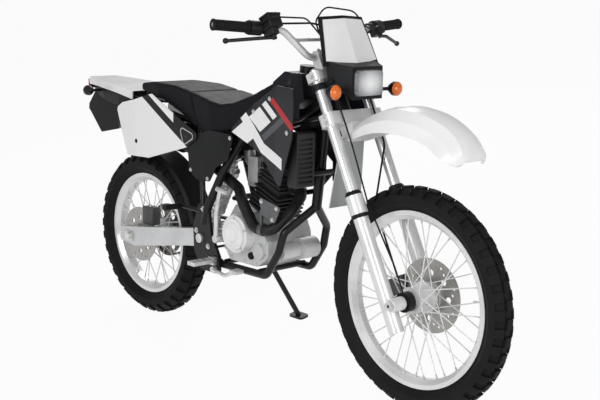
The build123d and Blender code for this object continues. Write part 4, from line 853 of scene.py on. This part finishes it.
chrome = finish("chrome", colour(0.76, 0.76, 0.77), colour(0.84, 0.84, 0.84), 0.30, metal=0.7, grain=300.0,
                depth=0.00001, patch=20.0)
dress(chrome, "fork_stanchions")
slider_alloy = finish("slider_alloy", colour(0.68, 0.69, 0.69), colour(0.82, 0.82, 0.82), 0.34, metal=0.4,
                      grain=1500.0, depth=0.0001)
dress(slider_alloy, "fork_sliders", "lower_clamp", "upper_clamp")
dress(plated_steel, "front_axle")
dress(moulded_black, "speedo_drive")
dust_seals = bmesh.new()
fork_bolts = bmesh.new()
for side in (-1, 1):
    leg = side * LEG_OUT
    lathe(dust_seals, [(18.2, 14), (18.2, 0.2), (27, 0.2), (27, 5), (21.5, 14)],
          on_fork(0, leg, SLIDER_TOP), UP, 32, closed=True)
    lathe(dust_seals, [(24.1, 0), (26.6, 0), (27.4, 1.5), (27.4, 11.8), (24.1, 11.8)],
          on_fork(0, leg, BAND_LOW), UP, 32, closed=True)
    for up in PINCH_BOLTS:
        bolt(fork_bolts, on_fork(6, side * BRIDGE_END, up), (0, side, 0), 5.0, 6.0)
    bolt(fork_bolts, on_fork(0, leg, BRIDGE_TOP), UP, 13.0, 9.0)
    for ahead in (-29, -7):
        bolt(fork_bolts, on_fork(ahead, side * BAR_CLAMP_OUT, BAR_CLAMP_TOP), UP, 4.5, 6.0)
bolt(fork_bolts, on_fork(-30, 0, BRIDGE_TOP), UP, 15.0, 10.0)
for up in CALIPER_BOLTS:
    bolt(fork_bolts, on_fork(-96, 80, up), (0, 1, 0), 6.0, 6.0)
piece(dust_seals, "dust_seals", "steering", hose_rubber)
piece(fork_bolts, "fork_bolts", "steering", plated_steel)

# Handlebar: pale alloy bar with ribbed rubber grips, black housings and levers, a plated pivot
# at the clutch lever, and the black cables and brake hose.

BAR_TIP = Vector((-42.0, 410.0, 951.0))
BAR_RUN = (Vector((-7.0, 170.0, 915.0)) - BAR_TIP).normalized()
PERCH = BAR_TIP + BAR_RUN * 179.0
dress(slider_alloy, "handlebar")
control_black = finish("control_black", colour(0.006, 0.006, 0.007), colour(0.014, 0.014, 0.015), 0.42,
                       grain=900.0, depth=0.0003, shine=0.3)
dress(control_black, "levers")
eased("controls", "steering", control_black, width=0.002)
dress(hose_rubber, "cables")
BAR_RADIUS, GRIP_LENGTH = 11.15, 121.5
RIBS, RIB_PITCH = 15, 7.2
grip_profile = [(BAR_RADIUS, 0.2), (7.4, 0.2), (7.4, -1.6), (16.0, -1.6), (18.3, 0.4), (18.3, 5.0)]
for index in range(RIBS):
    base = 7.0 + RIB_PITCH * index
    grip_profile += [(15.6, base), (16.9, base + 1.2), (16.9, base + 4.4), (15.6, base + 5.6)]
grip_profile += [(16.0, 115.5), (20.6, 117.0), (20.6, GRIP_LENGTH), (BAR_RADIUS, GRIP_LENGTH)]
ribbed_grips = bmesh.new()
bar_bolts = bmesh.new()
for side in (-1, 1):
    tip = on_fork(BAR_TIP.x, side * BAR_TIP.y, BAR_TIP.z)
    inward = along_fork(BAR_RUN.x, side * BAR_RUN.y, BAR_RUN.z)
    lathe(ribbed_grips, grip_profile, tip, inward, 32, closed=True)
for ahead, y in ((22.0, -16.0), (52.0, 14.0)):
    bolt(bar_bolts, on_fork(PERCH.x + ahead, -PERCH.y + y, PERCH.z + 28), UP, 3.0, 3.0)
bolt(bar_bolts, on_fork(PERCH.x + 32, PERCH.y, PERCH.z - 13), UP, 6.0, 5.0)
grip_rubber = finish("grip_rubber", colour(0.006, 0.006, 0.006), colour(0.011, 0.011, 0.011), 0.68,
                     grain=500.0, depth=0.0008, shine=0.2)
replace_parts(piece(ribbed_grips, "ribbed_grips", "steering", grip_rubber), "grips")
piece(bar_bolts, "bar_bolts", "steering", plated_steel)

# Instrument: one round clock in black plastic on the upper bridge, with a plated bezel
# and a dark dial with pale ticks and a red needle.

dress(moulded_black, "instrument")
DIAL = on_fork(36, 0, 838)
clock_bezel = bmesh.new()
lathe(clock_bezel, [(29.5, -0.4), (34.4, -0.4), (34.4, 4.0), (31.5, 5.0), (29.5, 3.6)], DIAL, UP, 48,
      closed=True)
piece(clock_bezel, "clock_bezel", "steering", plated_steel)
TICKS, TICK_HALF = 12.0, 0.14


def ticked_dial():
    """Black dial under a clear coat: pale ticks in a ring and a red needle."""
    made, shader, place = material("dial_paint")
    off = place.node("VectorMath", {"operation": "SUBTRACT"}, {0: place, 1: PARKED @ DIAL})
    up, across = [place.node("VectorMath", {"operation": "DOT_PRODUCT"},
                             {0: off, 1: UPRIGHT_TO_LEANED.to_3x3() @ axis}, out="Value")
                  for axis in (AHEAD, Vector((0, 1, 0)))]
    turn = up.math("ARCTAN2", up, across)
    reach = (up * up + across * across).root()
    ticks = ((turn * TICKS).wave().size() < TICK_HALF) * reach.between(0.0215, 0.0270)
    needle = (across.size() < 0.0008) * up.between(-0.004, 0.021)
    grain = place.noise(900.0, 2.0)
    face = ticks.tint(colour(0.010, 0.010, 0.011), colour(0.75, 0.75, 0.74))
    place.join(shader, {"Base Color": needle.tint(face, colour(0.62, 0.05, 0.03)),
                        "Roughness": 0.22 + grain * 0.06, "Coat Weight": 0.6,
                        "Normal": grain.relief(0.2, 0.0001)})
    return made


clock_dial = bmesh.new()
lathe(clock_dial, [(0, 1.2), (30, 1.0), (30, 0.0)], DIAL, UP, 40)
piece(clock_dial, "clock_dial", "steering", ticked_dial())

# Number shield, mask and head lamp: a white folded shield on a black mask, a fluted clear lens
# with the reflection of a bright reflector painted on it, and round amber indicators on black stalks.

dress(moulded_white, "number_shield")
dress(moulded_black, "headlight_mask")
dress(amber_lens, "front_indicators")
LENS_HEIGHT, LENS_ACROSS, LENS_UP = 0.9938, 17.0, 23.0


def fluted_glass():
    """Clear lens with a painted reflection of its reflector: a painted glint round the bulb, darker to the
    rim, with upright flutes.
    """
    made, shader, place = material("fluted_glass")
    _, y, z = on_bike(place).split()
    across, up = y * LENS_ACROSS, (z - LENS_HEIGHT) * LENS_UP
    reach = (across * across + up * up).root()
    # painted glint round the bulb and painted reflection of the reflector, darker to the rim
    bulb_glint = 1.0 - reach.rise(0.05, 0.28)
    reflection_ripple = (reach * 9.0).wave() * 0.12 + place.noise(40.0, 3.0) * 0.25
    painted_reflection = (1.0 - reach.rise(0.45, 0.95)) * 0.8 + reflection_ripple
    flutes = (y * 1400.0).wave()
    glass = painted_reflection.tint(colour(0.16, 0.165, 0.175), colour(0.84, 0.85, 0.86))
    place.join(shader, {"Base Color": bulb_glint.tint(glass, colour(0.93, 0.93, 0.91)), "Metallic": 0.25,
                        "Roughness": 0.12 + flutes.size() * 0.08, "Coat Weight": 0.9,
                        "Normal": flutes.relief(0.25, 0.0008)})
    return made


dress(fluted_glass(), "headlight")

# Front mudguard: white plastic with deep skirts and a broad nose, hung under the lower bridge,
# and a white flap behind the fork, painted grey as shade.

FLAP_SHADE_FRONT = -0.027


def flapped_white():
    """White plastic, with painted shade in grey behind the fork's line."""
    made, shader, place = material("flap_white")
    x, _, z = on_bike(place).split()
    ahead = (x - FORK_FOOT.x * 0.001) * AHEAD.x + (z - FORK_FOOT.z * 0.001) * AHEAD.z
    broad = place.noise(9.0, 4.0)
    fine = place.noise(1300.0, 2.0)
    white = broad.tint(DULL_WHITE, CLEAN_WHITE)
    # painted shade: the white flap behind the fork is coloured grey
    grey = broad.tint(colour(0.40, 0.42, 0.42), colour(0.48, 0.50, 0.50))
    place.join(shader, {"Base Color": (ahead < FLAP_SHADE_FRONT).tint(white, grey),
                        "Roughness": 0.33 + (broad - 0.5) * 0.12 + (fine - 0.5) * 0.1, "Coat Weight": 0.15,
                        "Normal": fine.relief(0.3, 0.00015)})
    return made


SKIRT_START = 200.0
NOSE_TOP, NOSE_LOW = 500.0, 288.0
NOSE_BACK, NOSE_SPREAD, SPREAD_CURVE = 60.0, 2.4, 3.5


def blunt_mudguard():
    """The mudguard's solid with its nose drawn back and spread to a broad edge."""
    bm = bmesh.new()
    bm.from_mesh(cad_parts["front_fender"].data)
    bmesh.ops.transform(bm, matrix=PARKED.inverted(), verts=bm.verts)
    for vert in bm.verts:
        from_foot = vert.co - FORK_FOOT
        if from_foot.dot(AHEAD) < SKIRT_START:
            continue
        nose = min(max((NOSE_TOP - from_foot.dot(UP)) / (NOSE_TOP - NOSE_LOW), 0.0), 1.0)
        vert.co.x -= NOSE_BACK * nose ** 2
        vert.co.y *= 1 + NOSE_SPREAD * nose ** SPREAD_CURVE
    return piece(bm, "blunt_mudguard", "steering", flapped_white(), smooth=20.0)


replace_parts(blunt_mudguard(), "front_fender")

# Studio: a pale floor, a white surround, three soft lamps, and the camera at the
# photograph's angle. The camera leans with the bike, so that it stands upright in the picture.

CAMERA_AT = Vector((3007.0, -2401.0, 1232.0))
CAMERA_TURN = radians(47.5)
CAMERA_RISE = radians(10.4)
CAMERA_ROLL = radians(-0.8)
FOCAL_SHARE = 1067.4 / 600.0
FLOOR_WHITE = 0.94
SKY_LIGHT = 0.42


def ray_kinds(tree, *names):
    """1 for rays of the named kinds, 0 for the rest."""
    first, *others = [Wire(tree).node("LightPath", {}, {}, out=name) for name in names]
    for other in others:
        first = first.most(other)
    return first


floor_mesh = bpy.data.meshes.new("floor")
floor_bm = bmesh.new()
bmesh.ops.create_grid(floor_bm, x_segments=1, y_segments=1, size=30.0)
floor_bm.to_mesh(floor_mesh)
floor_bm.free()
floor = bpy.data.objects.new("floor", floor_mesh)
bpy.context.scene.collection.objects.link(floor)
floor_paint = bpy.data.materials.new("floor_paint")
floor_paint.use_nodes = True
floor_tree = floor_paint.node_tree
floor_shader = floor_tree.nodes["Principled BSDF"]
floor_shader.inputs["Base Color"].default_value = colour(0.80, 0.80, 0.80)
floor_shader.inputs["Roughness"].default_value = 0.9
seen = ray_kinds(floor_tree, "Is Camera Ray", "Is Glossy Ray", "Is Transmission Ray")
glow = seen.node("Emission", {}, {"Strength": 1.0})
matt = Wire(floor_tree, floor_shader.outputs[0])
blend = seen.node("MixShader", {}, {0: seen * FLOOR_WHITE, 1: matt, 2: glow})
seen.join(floor_tree.nodes["Material Output"], {"Surface": blend})
floor_mesh.materials.append(floor_paint)

world = bpy.data.worlds.new("studio")
bpy.context.scene.world = world
world.use_nodes = True
sky_tree = world.node_tree
sky = sky_tree.nodes["Background"]
sky_seen = ray_kinds(sky_tree, "Is Camera Ray", "Is Transmission Ray")
sky_seen.join(sky, {"Strength": SKY_LIGHT + sky_seen * (1.0 - SKY_LIGHT)})
sky.inputs["Color"].default_value = colour(1.0, 1.0, 1.0)

for lamp_name, at, aim, size, power in (
        ("key", (0.9, -3.8, 2.4), (0.0, 0.0, 0.6), 2.4, 68.0),
        ("front", (3.8, -1.0, 1.8), (0.3, 0.0, 0.6), 1.8, 40.0),
        ("back", (-2.6, 2.6, 2.8), (0.0, 0.0, 0.6), 2.0, 45.0)):
    lamp = bpy.data.lights.new(lamp_name, "AREA")
    lamp.shape = "DISK"
    lamp.size = size
    lamp.energy = power
    lamp_object = bpy.data.objects.new(lamp_name, lamp)
    lamp_object.location = at
    lamp_object.rotation_euler = (Vector(aim) - Vector(at)).to_track_quat("-Z", "Y").to_euler()
    bpy.context.scene.collection.objects.link(lamp_object)

behind = Vector((sin(CAMERA_TURN) * cos(CAMERA_RISE), -cos(CAMERA_TURN) * cos(CAMERA_RISE), sin(CAMERA_RISE)))
right = Vector((0, 0, 1)).cross(behind).normalized()
above = behind.cross(right)
turned_right = right * cos(CAMERA_ROLL) - above * sin(CAMERA_ROLL)
turned_above = right * sin(CAMERA_ROLL) + above * cos(CAMERA_ROLL)
axes = Matrix((turned_right, turned_above, behind)).transposed()
camera = bpy.data.cameras.new("camera")
camera.sensor_width = 36.0
camera.lens = FOCAL_SHARE * camera.sensor_width
camera_object = bpy.data.objects.new("camera", camera)
camera_axes = (UPRIGHT_TO_LEANED.to_3x3() @ axes).to_4x4()
camera_object.matrix_world = Matrix.Translation(PARKED @ CAMERA_AT) @ camera_axes
bpy.context.scene.collection.objects.link(camera_object)
bpy.context.scene.camera = camera_object
bpy.context.scene.view_settings.view_transform = "Standard"
